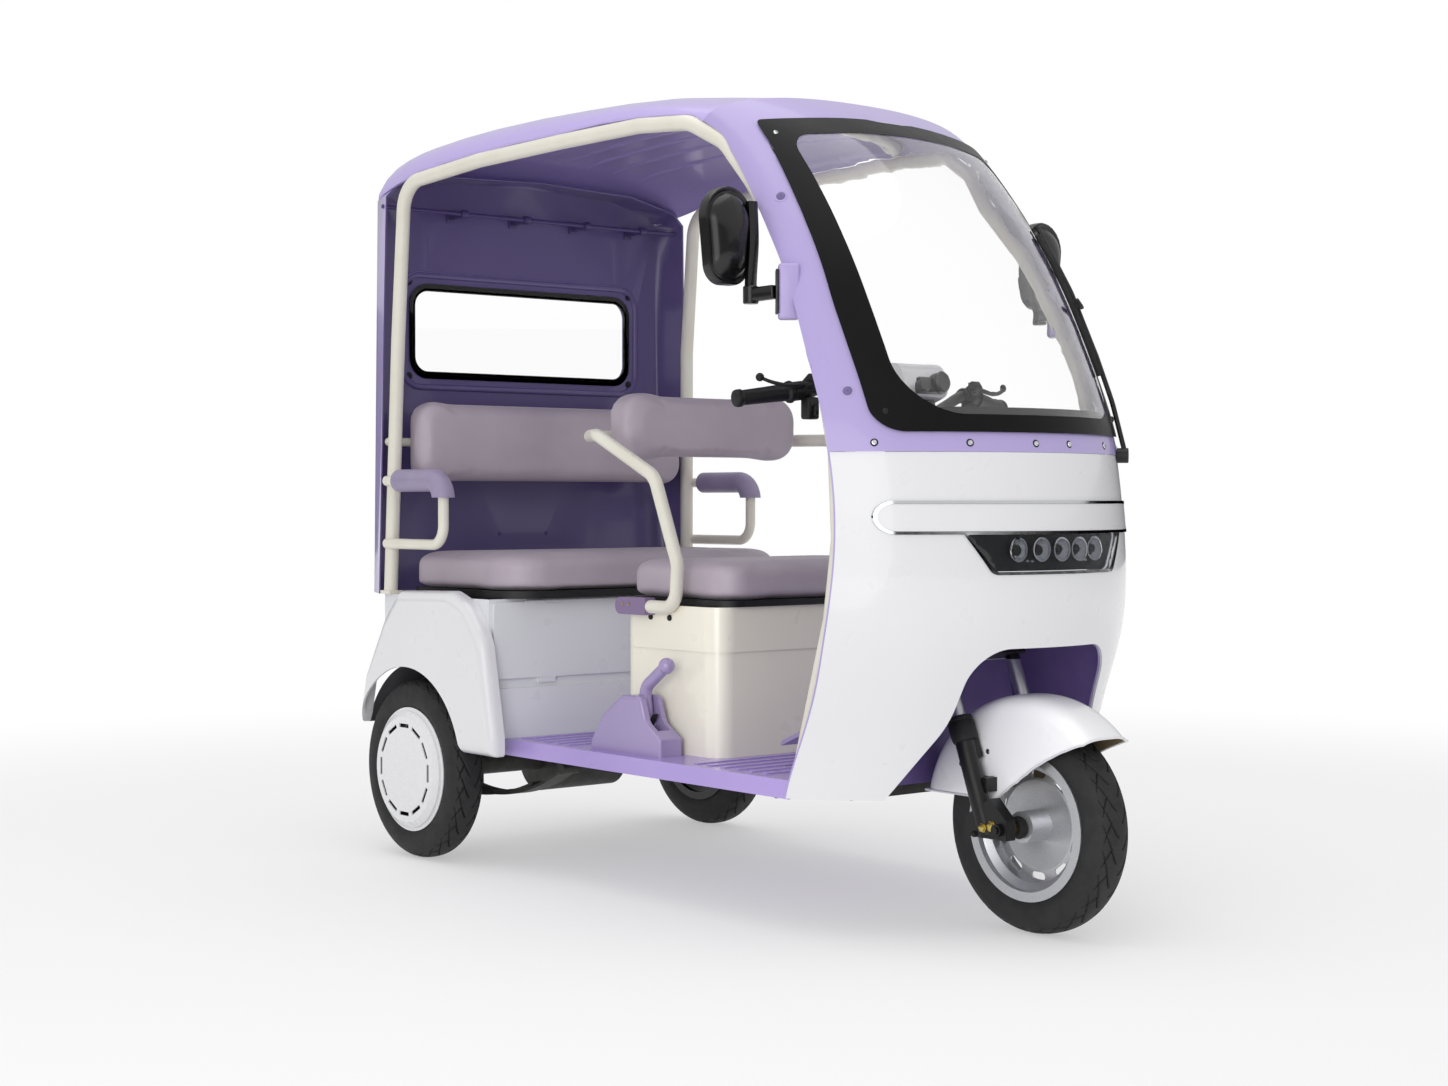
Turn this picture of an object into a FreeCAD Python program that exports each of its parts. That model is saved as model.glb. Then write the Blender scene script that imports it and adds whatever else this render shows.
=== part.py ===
import FreeCAD, Part
import math
import os
import Sketcher
from FreeCAD import Placement, Rotation, Vector

# Auto rickshaw: a light three-wheeler with a driver's seat, a passenger bench and a roof.
# Millimetres. +X is forward, +Y the driver's left, +Z up. All places along X are counted from
# the rear axle; the finished pieces are then shifted so that the origin is on the ground under
# the middle of the vehicle.

doc = FreeCAD.newDocument("auto_rickshaw")
sheet = doc.addObject("Spreadsheet::Sheet", "sizes")

SIZES = {
    "wheels": [
        ("wheel_base", 1515), ("rear_track", 843), ("tyre_radius", 205), ("tyre_width", 84),
        ("bead_radius", 128), ("rim_lip_radius", 142), ("rim_wall", 4), ("rim_width", 62),
        ("rim_well_radius", 112), ("hub_radius", 30), ("hub_half_length", 46),
        ("axle_radius", 7), ("axle_clearance", 0.5), ("drum_radius", 62), ("drum_width", 34),
        ("slot_ring_radius", 97), ("slot_length", 34), ("slot_height", 15), ("dome_radius", 86),
        ("cap_radius", 134), ("cap_thickness", 3), ("cap_depth", 16), ("cap_slot_radius", 101),
        ("cap_slot_length", 40), ("cap_slot_height", 9), ("half_shaft_radius", 12),
    ],
    "chassis": [
        ("rail_spacing", 500), ("rail_width", 34), ("rail_height", 46), ("rail_top", 289),
        ("rail_rise", 74), ("kick_front", 244), ("kick_rear", 150), ("rear_rail_end", -196),
        ("rail_front", 1222), ("cross_radius", 14), ("axle_tube_radius", 27),
        ("motor_radius", 78), ("motor_length", 210), ("plate_radius", 55), ("plate_width", 9),
        ("spring_spacing", 596), ("leaf_width", 44), ("leaf_thickness", 7), ("leaf_gap", 0.4),
        ("spring_front", 400), ("spring_rear", -186), ("spring_eye_height", 232),
        ("spring_drop", 9), ("spring_eye_radius", 12), ("bracket_wall", 6),
        ("neck_spacing", 92), ("neck_radius", 15), ("neck_place", 1230), ("neck_bend", 560),
        ("head_bottom", 618), ("head_top", 752), ("head_radius", 26), ("stem_radius", 15),
        ("stem_clearance", 0.5), ("shackle_width", 8),
    ],
    "deck": [
        ("deck_rear", 256), ("deck_shoulder", 1249), ("deck_front", 1273),
        ("deck_half_width", 398), ("deck_top", 296),
        ("deck_bottom", 260), ("deck_wall", 6), ("deck_notch_width", 136), ("deck_notch_depth", 47),
        ("deck_tongue", 382), ("deck_tongue_inner", 316),
        ("rib_width", 14), ("rib_height", 2.5), ("rib_pitch", 42), ("rib_margin", 26),
        ("deck_corner", 18),
    ],
    "bench": [
        ("bench_rear", -150), ("bench_front", 300), ("bench_half_width", 436),
        ("bench_inner_half_width", 334), ("bench_top", 604), ("bench_shoulder", 456),
        ("bench_forward_part", 249), ("bench_wall", 5), ("flap_bottom", 428), ("flap_top", 597),
        ("flap_thickness", 8), ("flap_gap", 0.6), ("flap_half_width", 428), ("flap_frame", 24),
        ("slot_band", 22), ("latch_length", 46), ("latch_height", 12), ("latch_reach", 7),
        ("base_thickness", 17), ("lid_gap", 0.4), ("lid_half_width", 418.5), ("lid_rear", -84),
        ("lid_front", 346), ("cushion_height", 80), ("cushion_corner", 104), ("base_inset", 10),
        ("cushion_edge", 26), ("battery_length", 300), ("battery_width", 560),
        ("battery_height", 190), ("rest_bottom", 854), ("rest_top", 1065), ("rest_back", -128),
        ("rest_thickness", 70), ("rest_half_width", 404), ("rest_corner", 60),
        ("rest_edge", 24), ("hinge_radius", 5), ("knuckle_length", 44), ("knuckle_gap", 1),
    ],
    "fenders": [
        ("fender_face", 474), ("fender_inner", 436.4), ("fender_wall", 5), ("fender_rear", -217),
        ("fender_front", 354), ("fender_top", 620), ("fender_bottom", 262), ("fender_edge", 24),
        ("arch_radius", 236), ("liner_radius", 240), ("liner_wall", 4), ("liner_side", 334.4),
        ("arch_cover", 46),
    ],
    "driver seat": [
        ("box_rear", 596), ("box_front", 906), ("box_half_width", 290), ("box_top", 604),
        ("box_wall", 5), ("box_corner", 46), ("box_ledge", 4), ("box_ledge_height", 512),
        ("seat_rear", 582), ("seat_front", 926), ("seat_half_width", 285), ("seat_base", 13),
        ("seat_height", 78), ("seat_corner", 62), ("pad_back", 470), ("pad_thickness", 80),
        ("pad_half_width", 256), ("pad_bottom", 905), ("pad_top", 1066), ("pad_corner", 62),
        ("hoop_radius", 14), ("hoop_bend", 46), ("hoop_offset", 304), ("hoop_start", 702),
        ("hoop_start_height", 600), ("hoop_knee", 806), ("hoop_knee_height", 690),
        ("hoop_shoulder", 745), ("hoop_shoulder_height", 872), ("hoop_elbow", 556),
        ("hoop_elbow_height", 962), ("hoop_half_width", 334), ("hoop_back_half_width", 284),
        ("clamp_length", 104), ("clamp_height", 36), ("clamp_gap", 0.4),
    ],
    "hand controls": [
        ("brake_place", 330), ("brake_width", 62), ("brake_rear", 563), ("brake_length", 244),
        ("brake_height", 122), ("lever_width", 26), ("lever_radius", 17), ("lever_length", 120),
        ("pedal_place", 232), ("pedal_rear", 1072), ("pedal_length", 84), ("pedal_width", 62),
        ("pedal_height", 346), ("pedal_thickness", 9), ("pedal_arm", 12),
    ],
    "shield": [
        ("shield_radius", 480), ("skin", 5), ("liner_skin", 4), ("skin_gap", 0.6),
        ("liner_step", 7), ("belt_height", 912), ("shield_bottom", 264), ("shield_height", 648),
        ("nose_reach", 66), ("belt_nose", 41), ("edge_reach", -140), ("edge_swing", 117),
        ("opening_foot", 288), ("opening_waist", 198), ("opening_waist_height", 405),
        ("opening_head", 180), ("opening_top", 547), ("opening_corner", 78),
        ("well_rear", 1252), ("well_margin", 12), ("well_top", 600), ("well_wall", 4),
        ("trim_width", 6), ("trim_rise", 4), ("strip_half_length", 343), ("strip_bottom", 766),
        ("strip_top", 816), ("strip_rise", 3), ("lamp_top_half", 214), ("lamp_low_half", 160),
        ("lamp_bottom", 691), ("lamp_depth", 24), ("lamp_gap", 0.5), ("lamp_corner", 22),
    ],
    "canopy": [
        ("canopy_rear", -214), ("canopy_length", 1770), ("canopy_half_width", 437),
        ("canopy_rise", 778), ("canopy_wall", 5), ("roof_gap", 1),
        ("tube_radius", 16), ("tube_bend", 70), ("foot_plate", 42), ("foot_thickness", 8),
        ("back_rail_radius", 10), ("back_rail_height", 960), ("panel_back", -218),
        ("panel_wall", 4), ("panel_foot_half", 464), ("panel_shoulder", 1533),
        ("panel_head_half", 444), ("panel_foot_depth", 82), ("panel_head_depth", 90),
        ("window_half", 319), ("window_bottom", 1127), ("window_top", 1335),
        ("window_corner", 46), ("window_frame", 42), ("window_rise", 10), ("glass", 4),
        ("glass_gap", 0.5), ("plate_hole_radius", 3.25), ("plate_hole_spacing", 140),
        ("plate_hole_height", 740), ("screen_bottom", 951), ("screen_top", 1556),
        ("screen_half", 314), ("screen_crown", 36), ("screen_border", 26),
        ("screen_corner", 60), ("screen_seat", 0.5),
        ("belt_joint", 0.6), ("arm_half", 452), ("arm_top", 868), ("arm_bottom", 722),
        ("arm_reach", 132), ("arm_tube", 12), ("arm_bend", 44), ("arm_pad_width", 34),
        ("arm_pad_height", 26), ("arm_pad_gap", 0.4),
    ],
    "steering": [
        ("axle_height", 205), ("leg_setback", 43), ("leg_spacing", 190), ("leg_radius", 19),
        ("stanchion_radius", 14), ("leg_top", 398), ("leg_bottom", 190), ("crown_height", 528),
        ("crown_thickness", 26), ("crown_depth", 52), ("lug_width", 26), ("bar_height", 1002),
        ("bar_radius", 11), ("bar_half_width", 372), ("bar_sweep", 92), ("bar_rise", 24),
        ("bar_straight", 120), ("bar_bend", 60), ("grip_radius", 17), ("grip_length", 124),
        ("pod_width", 120), ("pod_height", 74), ("pod_depth", 96), ("pod_corner", 26),
        ("perch_width", 46), ("perch_radius", 23), ("lever_thickness", 8), ("lever_reach", 150),
        ("lever_gap", 44), ("lever_ball", 9), ("guard_radius", 250), ("guard_wall", 4),
        ("guard_half_width", 66), ("guard_side_radius", 205), ("guard_low", 252),
        ("axle_nut", 12), ("clamp_block", 40),
    ],
    "fittings": [
        ("dash_half_width", 232), ("dash_rear", 1322), ("dash_bottom", 914), ("dash_top", 996),
        ("dash_gap", 0.4), ("dash_corner", 22), ("mirror_place", 1116), ("mirror_side", 439),
        ("mirror_height", 1330), ("mirror_width", 128), ("mirror_tall", 186),
        ("mirror_depth", 44), ("mirror_stem", 7), ("mirror_knuckle", 15),
        ("mount_height", 1205), ("mount_tall", 96), ("mount_width", 24), ("mount_depth", 34),
        ("wiper_radius", 5), ("wiper_side", 292), ("wiper_offset", 13), ("wiper_pivot", 15),
        ("blade_width", 9), ("rod_height", 1512), ("rod_place", -150),
    ],
}

row = 1
for heading, rows in SIZES.items():
    sheet.set("A%d" % row, heading)
    row += 1
    for alias, value in rows:
        sheet.set("A%d" % row, alias)
        sheet.set("B%d" % row, str(value))
        sheet.setAlias("B%d" % row, alias)
        row += 1
doc.recompute()


class Sizes:
    """Reads a size from the sheet by its name."""

    def __getattr__(self, alias):
        return float(sheet.get(alias))


size = Sizes()
overrun = size.tyre_radius
front_end = size.wheel_base + size.tyre_radius
rear_end = size.panel_back - size.window_rise
shift = (front_end + rear_end) / 2
parts = {}
TO_CENTRE = Placement(Vector(-shift, 0, 0), Rotation())


def keep(name, shape):
    """A Part::Feature with its place along X set after its shape."""
    solid = doc.addObject("Part::Feature", name)
    solid.Shape = shape.removeSplitter() if len(shape.Solids) else shape
    solid.Placement = TO_CENTRE.multiply(solid.Placement)
    solid.Label = name
    parts[name] = solid
    return solid


def keepBody(name, body):
    body.Placement = TO_CENTRE
    body.Label = name
    parts[name] = body
    return body


def mirrored(shape):
    return shape.mirror(Vector(0, 0, 0), Vector(0, 1, 0))


def block(x0, x1, y0, y1, z0, z1):
    return Part.makeBox(x1 - x0, y1 - y0, z1 - z0, Vector(x0, y0, z0))


def rod(a, b, radius):
    """A cylinder from point a to point b."""
    return Part.makeCylinder(radius, (b - a).Length, a, b - a)


def flat(points):
    """A face through a closed run of points."""
    return Part.Face(Part.makePolygon(points + [points[0]]))


def rounded(outline, radii):
    """A closed wire through corner points, each corner rounded by its own radius."""
    edges = []
    arcs = []
    count = len(outline)
    for i in range(count):
        before, corner, after = outline[i - 1], outline[i], outline[(i + 1) % count]
        back = (before - corner).normalize()
        ahead = (after - corner).normalize()
        turn = math.pi - back.getAngle(ahead)
        if radii[i] <= 0 or turn < 1e-3:
            arcs.append((corner, None, corner))
            continue
        run = radii[i] * math.tan(turn / 2)
        start = corner + back * run
        end = corner + ahead * run
        middle = (back + ahead).normalize()
        centre = corner + middle * (radii[i] / math.cos(turn / 2))
        arcs.append((start, centre - middle * radii[i], end))
    for i in range(count):
        start, top, end = arcs[i]
        if top is not None:
            edges.append(Part.Arc(start, top, end).toShape())
        following = arcs[(i + 1) % count][0]
        if (following - end).Length > 1e-6:
            edges.append(Part.LineSegment(end, following).toShape())
    return Part.Wire(edges)


def tube(points, radius, bend):
    """A round bar along straight runs joined by tangent arcs."""
    edges = []
    last = points[0]
    for i in range(1, len(points) - 1):
        back = points[i - 1] - points[i]
        ahead = points[i + 1] - points[i]
        turn = math.pi - back.getAngle(ahead)
        run_share = 0.45
        room = run_share * min(back.Length, ahead.Length) / math.tan(turn / 2)
        r = min(bend, room)
        back.normalize()
        ahead.normalize()
        run = r * math.tan(turn / 2)
        middle = (back + ahead).normalize()
        start = points[i] + back * run
        end = points[i] + ahead * run
        top = points[i] + middle * (r / math.cos(turn / 2) - r)
        edges.append(Part.LineSegment(last, start).toShape())
        edges.append(Part.Arc(start, top, end).toShape())
        last = end
    edges.append(Part.LineSegment(last, points[-1]).toShape())
    circle = Part.Wire(Part.makeCircle(radius, points[0], points[1] - points[0]))
    return Part.Wire(edges).makePipeShell([circle], True, False)


def plane(body, role):
    for feature in body.Origin.OriginFeatures:
        if feature.Role == role:
            return feature


def sketchOn(body, role, name):
    sketch = body.newObject("Sketcher::SketchObject", name)
    sketch.AttachmentSupport = (plane(body, role), [""])
    sketch.MapMode = "FlatFace"
    return sketch


def outline(sketch, corners):
    """A closed polygon in a sketch; each corner is a pair of expressions on the sheet."""
    count = len(corners)
    first = sketch.GeometryCount
    for i in range(count):
        a = 2 * math.pi * i / count
        b = 2 * math.pi * (i + 1) / count
        line = Part.LineSegment(Vector(math.cos(a), math.sin(a), 0),
                                Vector(math.cos(b), math.sin(b), 0))
        sketch.addGeometry(line, False)
    for i in range(count):
        here = first + i
        following = first + (i + 1) % count
        sketch.addConstraint(Sketcher.Constraint("Coincident", here, 2, following, 1))
    for i, (across, up) in enumerate(corners):
        a = 2 * math.pi * i / count
        for kind, place, rule in (("DistanceX", math.cos(a), across), ("DistanceY", math.sin(a), up)):
            index = sketch.addConstraint(Sketcher.Constraint(kind, first + i, 1, place))
            sketch.setExpression("Constraints[%d]" % index, rule)


def pad(body, sketch, name, length, midplane=False, reverse=False):
    feature = body.newObject("PartDesign::Pad", name)
    feature.Profile = sketch
    feature.setExpression("Length", length)
    feature.Midplane = midplane
    feature.Reversed = reverse
    sketch.Visibility = False
    doc.recompute()
    return feature


def pocket(body, sketch, name, length, midplane=False, reverse=False):
    before = body.Shape.Volume
    feature = body.newObject("PartDesign::Pocket", name)
    feature.Profile = sketch
    feature.setExpression("Length", length)
    feature.Midplane = midplane
    feature.Reversed = reverse
    doc.recompute()
    if body.Shape.Volume >= before:
        raise RuntimeError("%s cuts nothing" % name)
    return feature


def revolve(body, sketch, name, axis):
    feature = body.newObject("PartDesign::Revolution", name)
    feature.Profile = sketch
    feature.ReferenceAxis = (sketch, [axis])
    feature.Angle = 360
    doc.recompute()
    return feature


def ring(body, feature, name, axis_role, count):
    """Repeats a feature round one of the body's own axes."""
    pattern = body.newObject("PartDesign::PolarPattern", name)
    pattern.Originals = [feature]
    pattern.Axis = (plane(body, axis_role), [""])
    pattern.Angle = 360
    pattern.Occurrences = count
    body.Tip = pattern
    doc.recompute()
    return pattern


def filletEdges(body, name, radius, chosen):
    """Rounds the edges of the body's last shape that the test picks out."""
    base = body.Tip
    names = ["Edge%d" % (i + 1) for i, edge in enumerate(base.Shape.Edges) if chosen(edge)]
    feature = body.newObject("PartDesign::Fillet", name)
    feature.Base = (base, names)
    feature.setExpression("Radius", radius)
    doc.recompute()
    return feature


def isUpright(edge):
    ends = edge.Vertexes
    if len(ends) < 2:
        return False
    way = ends[1].Point - ends[0].Point
    return way.Length > 0 and abs(way.z) > 0.999 * way.Length


# Wheels. Each is modelled about its own axle, which is the local Y axis, and then placed.

def placeWheel(body, x, y):
    body.Placement = Placement(Vector(x - shift, y, size.axle_height), Rotation())


def makeTyre(name, x, y):
    body = doc.addObject("PartDesign::Body", name)
    sketch = sketchOn(body, "XY_Plane", name + "_section")
    tread_share, shoulder_share, wall_share = 0.50, 0.94, 0.80
    half = "sizes.tyre_width / 2"
    outline(sketch, [
        ("sizes.bead_radius", half + " * %g" % -0.62),
        ("sizes.bead_radius + (sizes.tyre_radius - sizes.bead_radius) * 0.45", "-" + half),
        ("sizes.bead_radius + (sizes.tyre_radius - sizes.bead_radius) * %g" % wall_share,
         half + " * -0.92"),
        ("sizes.bead_radius + (sizes.tyre_radius - sizes.bead_radius) * %g" % shoulder_share,
         half + " * %g" % -(1 - tread_share + 0.14)),
        ("sizes.tyre_radius", half + " * -0.22"),
        ("sizes.tyre_radius", half + " * 0.22"),
        ("sizes.bead_radius + (sizes.tyre_radius - sizes.bead_radius) * %g" % shoulder_share,
         half + " * %g" % (1 - tread_share + 0.14)),
        ("sizes.bead_radius + (sizes.tyre_radius - sizes.bead_radius) * %g" % wall_share,
         half + " * 0.92"),
        ("sizes.bead_radius + (sizes.tyre_radius - sizes.bead_radius) * 0.45", half),
        ("sizes.bead_radius", half + " * %g" % 0.62),
    ])
    revolve(body, sketch, name + "_ring", "V_Axis")
    placeWheel(body, x, y)
    body.Label = name
    parts[name] = body


def wheelProfile(bore):
    """The rim's section as points (radius, along the axle), walked round once."""
    s = size
    half = s.rim_width / 2
    seat = s.bead_radius - s.axle_clearance
    well = s.rim_well_radius
    lip = s.rim_lip_radius
    t = s.rim_wall
    outer_side = [(well, half * 0.45), (seat, half * 0.72), (seat, half + t),
                  (lip, half + t), (lip, half + 2 * t), (seat - t, half + 2 * t),
                  (seat - t, half * 0.72 + t), (well - t, half * 0.45 + t)]
    disc_out = [(well - t, t * 2), (s.dome_radius, t), (s.hub_radius, t * 3),
                (s.hub_radius, s.hub_half_length), (bore, s.hub_half_length)]
    disc_in = [(bore, -s.hub_half_length), (s.hub_radius, -s.hub_half_length),
               (s.hub_radius, t * 2), (s.dome_radius, 0), (well - t, t)]
    inner_side = [(r, -a) for r, a in reversed(outer_side)]
    return outer_side + disc_out + disc_in + inner_side


def rimShape(bore, slots):
    points = [Vector(r, a, 0) for r, a in wheelProfile(bore)]
    solid = flat(points).revolve(Vector(0, 0, 0), Vector(0, 1, 0), 360)
    slot_round = size.slot_height / 2
    half = size.slot_length / 2
    low = size.slot_ring_radius - slot_round
    high = size.slot_ring_radius + slot_round
    corner_share = 0.9
    face = Part.Face(rounded([Vector(-half, -overrun, low), Vector(half, -overrun, low),
                              Vector(half, -overrun, high), Vector(-half, -overrun, high)],
                             [slot_round * corner_share] * 4))
    cutter = face.extrude(Vector(0, 2 * overrun, 0))
    for i in range(slots):
        turned = cutter.copy()
        turned.rotate(Vector(0, 0, 0), Vector(0, 1, 0), 360.0 * i / slots)
        solid = solid.cut(turned)
    return solid


def makeWheelPart(name, shape, x, y):
    solid = doc.addObject("Part::Feature", name)
    solid.Shape = shape
    at = Placement(Vector(x - shift, y, size.axle_height), Rotation())
    solid.Placement = at.multiply(solid.Placement)
    solid.Label = name
    parts[name] = solid


def hubCap():
    """A flat dished cap with a ring of slots; its open side faces the vehicle."""
    s = size
    points = [Vector(0, s.cap_depth, 0), Vector(s.cap_radius * 0.9, s.cap_depth, 0),
              Vector(s.cap_radius, s.cap_depth * 0.4, 0), Vector(s.cap_radius, 0, 0),
              Vector(s.cap_radius - s.cap_thickness, 0, 0),
              Vector(s.cap_radius - s.cap_thickness, s.cap_depth * 0.3, 0),
              Vector(s.cap_radius * 0.87, s.cap_depth - s.cap_thickness, 0),
              Vector(0, s.cap_depth - s.cap_thickness, 0)]
    solid = flat(points).revolve(Vector(0, 0, 0), Vector(0, 1, 0), 360)
    half = s.cap_slot_length / 2
    low = s.cap_slot_radius - s.cap_slot_height / 2
    high = s.cap_slot_radius + s.cap_slot_height / 2
    cutter = block(-half, half, -overrun, overrun, low, high)
    for i in range(12):
        turned = cutter.copy()
        turned.rotate(Vector(0, 0, 0), Vector(0, 1, 0), 30.0 * i)
        solid = solid.cut(turned)
    return solid


front_x = size.wheel_base
side_y = size.rear_track / 2
makeTyre("front_tyre", front_x, 0)
makeTyre("rear_tyre_right", 0, -side_y)
makeTyre("rear_tyre_left", 0, side_y)
makeWheelPart("front_rim", rimShape(size.axle_radius + size.axle_clearance, 10), front_x, 0)
cap_seat = size.rim_width / 2 + size.rim_wall * 2
for label, side in (("right", -1), ("left", 1)):
    wheel = rimShape(size.half_shaft_radius, 10)
    shaft_end = size.hub_half_length
    inner_end = side_y - size.liner_side + 2 * size.liner_wall
    shaft = rod(Vector(0, -inner_end, 0), Vector(0, shaft_end, 0), size.half_shaft_radius)
    drum = rod(Vector(0, -size.hub_half_length - size.drum_width, 0),
               Vector(0, -size.hub_half_length, 0), size.drum_radius)
    cap = hubCap()
    cap.translate(Vector(0, cap_seat, 0))
    wheel = wheel.fuse(shaft).fuse(drum).fuse(cap)
    if side < 0:
        wheel = mirrored(wheel)
    makeWheelPart("rear_rim_" + label, wheel, 0, side * side_y)


# Steering head. The fork legs and the steering axis lie in one raked plane; the axle leads it.

RAKE_SHARE = 0.364
rake = Vector(-RAKE_SHARE, 0, 1).normalize()
steer_foot = Vector(size.wheel_base - size.leg_setback, 0, size.axle_height)


def onSteer(height, side=0):
    """The point of the steering plane at a height, to one side of its middle."""
    return steer_foot + Vector(-RAKE_SHARE * (height - size.axle_height), side,
                               height - size.axle_height)


def neckTube(side_way, radius):
    """One of the two tubes that rise from the rails to the steering head."""
    s = size
    y = side_way * s.neck_spacing / 2
    points = [Vector(s.neck_place, y, s.rail_top - s.rail_height + s.cross_radius),
              Vector(s.neck_place, y, s.neck_bend),
              onSteer((s.head_bottom + s.head_top) / 2, y * 0.3)]
    return tube(points, radius, s.tube_bend)


# Chassis: two rails with a kick-up over the axle, cross tubes, spring brackets and the neck.

def makeFrame():
    s = size
    low = s.rail_top - s.rail_height
    up = s.rail_rise
    side = [Vector(s.rail_front, 0, low), Vector(s.rail_front, 0, s.rail_top),
            Vector(s.kick_front, 0, s.rail_top), Vector(s.kick_rear, 0, s.rail_top + up),
            Vector(s.rear_rail_end, 0, s.rail_top + up),
            Vector(s.rear_rail_end, 0, low + up), Vector(s.kick_rear, 0, low + up),
            Vector(s.kick_front, 0, low)]
    rail = flat(side).extrude(Vector(0, s.rail_width, 0))
    right = rail.translated(Vector(0, -s.rail_spacing / 2, 0))
    frame = right.fuse(mirrored(right))
    inside = s.rail_spacing / 2 - s.rail_width / 2
    middle = s.rail_top - s.rail_height / 2
    cross_shares = (0.98, 0.5, 0.06)
    for share in cross_shares:
        x = s.kick_front + (s.rail_front - s.kick_front) * share
        frame = frame.fuse(rod(Vector(x, -inside, middle), Vector(x, inside, middle),
                               s.cross_radius))
    tail = s.rear_rail_end + s.cross_radius * 1.5
    frame = frame.fuse(rod(Vector(tail, -inside, middle + up), Vector(tail, inside, middle + up),
                           s.cross_radius))
    outriggers = (0.2, 0.62, 0.97)
    for share in outriggers:
        x = s.kick_front + (s.rail_front - s.kick_front) * share
        reach = s.deck_half_width - 3 * s.deck_wall
        for side_way in (-1, 1):
            frame = frame.fuse(rod(Vector(x, side_way * inside, middle),
                                   Vector(x, side_way * reach, middle), s.cross_radius * 0.8))
    for side_way in (-1, 1):
        y = side_way * s.spring_spacing / 2
        for x, top in ((s.spring_front, s.rail_top - s.rail_height / 2),
                       (s.spring_rear, middle + up)):
            across = y - side_way * s.leaf_width / 2
            eye = block(x - s.spring_eye_radius, x + s.spring_eye_radius,
                        min(side_way * inside, y + side_way * s.leaf_width / 2),
                        max(side_way * inside, y + side_way * s.leaf_width / 2),
                        s.spring_eye_height + s.spring_eye_radius + s.leaf_gap, top)
            frame = frame.fuse(eye)
    head = rod(onSteer(s.head_bottom), onSteer(s.head_top), s.head_radius)
    for side_way in (-1, 1):
        frame = frame.fuse(neckTube(side_way, s.neck_radius))
    front = s.rail_front - s.rail_width / 2
    frame = frame.fuse(block(front, s.neck_place + s.neck_radius, -inside, inside, low,
                             low + 2 * s.cross_radius))
    frame = frame.fuse(head)
    bore = rod(onSteer(s.head_bottom - s.head_radius), onSteer(s.head_top + s.head_radius),
               s.stem_radius + s.stem_clearance)
    return frame.cut(bore)


def makeRearAxle():
    s = size
    reach = s.rear_track / 2 - s.hub_half_length - s.drum_width - s.bracket_wall
    axle = rod(Vector(0, -reach, 0), Vector(0, reach, 0), s.axle_tube_radius)
    motor_side = s.motor_length / 2
    motor = rod(Vector(0, -motor_side, 0), Vector(0, motor_side, 0), s.motor_radius)
    axle = axle.fuse(motor)
    for side_way in (-1, 1):
        face = side_way * reach
        axle = axle.fuse(rod(Vector(0, face, 0), Vector(0, face - side_way * s.plate_width, 0),
                             s.plate_radius))
        y = side_way * s.spring_spacing / 2
        seat = s.axle_tube_radius * 1.15
        grip = s.leaf_width * 0.6
        axle = axle.fuse(block(-grip, grip, y - s.leaf_width / 2, y + s.leaf_width / 2,
                               -seat, seat * 0.4))
    bore = rod(Vector(0, -2 * reach, 0), Vector(0, 2 * reach, 0),
               s.half_shaft_radius + s.axle_clearance)
    axle = axle.cut(bore)
    axle.translate(Vector(0, 0, s.axle_height))
    return axle


def makeLeafSprings():
    """Two packs of three leaves under the axle, the main leaf rolled into an eye at each end."""
    s = size
    seat = s.axle_height - s.axle_tube_radius * 1.15 - s.spring_drop
    packs = []
    for side_way in (-1, 1):
        y = side_way * s.spring_spacing / 2 - s.leaf_width / 2
        pack = None
        reach_shares = (1, 0.72, 0.46)
        for i, share in enumerate(reach_shares):
            top = seat - i * s.leaf_thickness
            rise = (s.spring_eye_height - seat) * share * share
            tips = [Vector(s.spring_rear * share, 0, top + rise), Vector(0, 0, top),
                    Vector(s.spring_front * share, 0, top + rise)]
            upper = Part.Arc(tips[0], tips[1], tips[2]).toShape()
            down = Vector(0, 0, -s.leaf_thickness)
            lower = Part.Arc(tips[0] + down, tips[1] + down, tips[2] + down).toShape()
            ends = [Part.LineSegment(tips[0] + down, tips[0]).toShape(),
                    Part.LineSegment(tips[2], tips[2] + down).toShape()]
            wire = Part.Wire(Part.__sortEdges__([upper, ends[1], lower, ends[0]]))
            leaf = Part.Face(wire).extrude(Vector(0, s.leaf_width, 0))
            pack = leaf if pack is None else pack.fuse(leaf)
        grip = s.leaf_width * 0.6
        pack = pack.fuse(block(-grip, grip, 0, s.leaf_width, seat - 4 * s.leaf_thickness,
                               seat + s.spring_drop - s.leaf_gap))
        for x in (s.spring_rear, s.spring_front):
            eye = rod(Vector(x, 0, s.spring_eye_height), Vector(x, s.leaf_width, s.spring_eye_height),
                      s.spring_eye_radius)
            pack = pack.fuse(eye)
        pack.translate(Vector(0, y, 0))
        packs.append(pack)
    return packs


keep("frame", makeFrame())
keep("rear_axle", Part.makeCompound([makeRearAxle()] + makeLeafSprings()))


# Floor deck: a ribbed tray over the rails, notched at its front for the neck.

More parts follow.
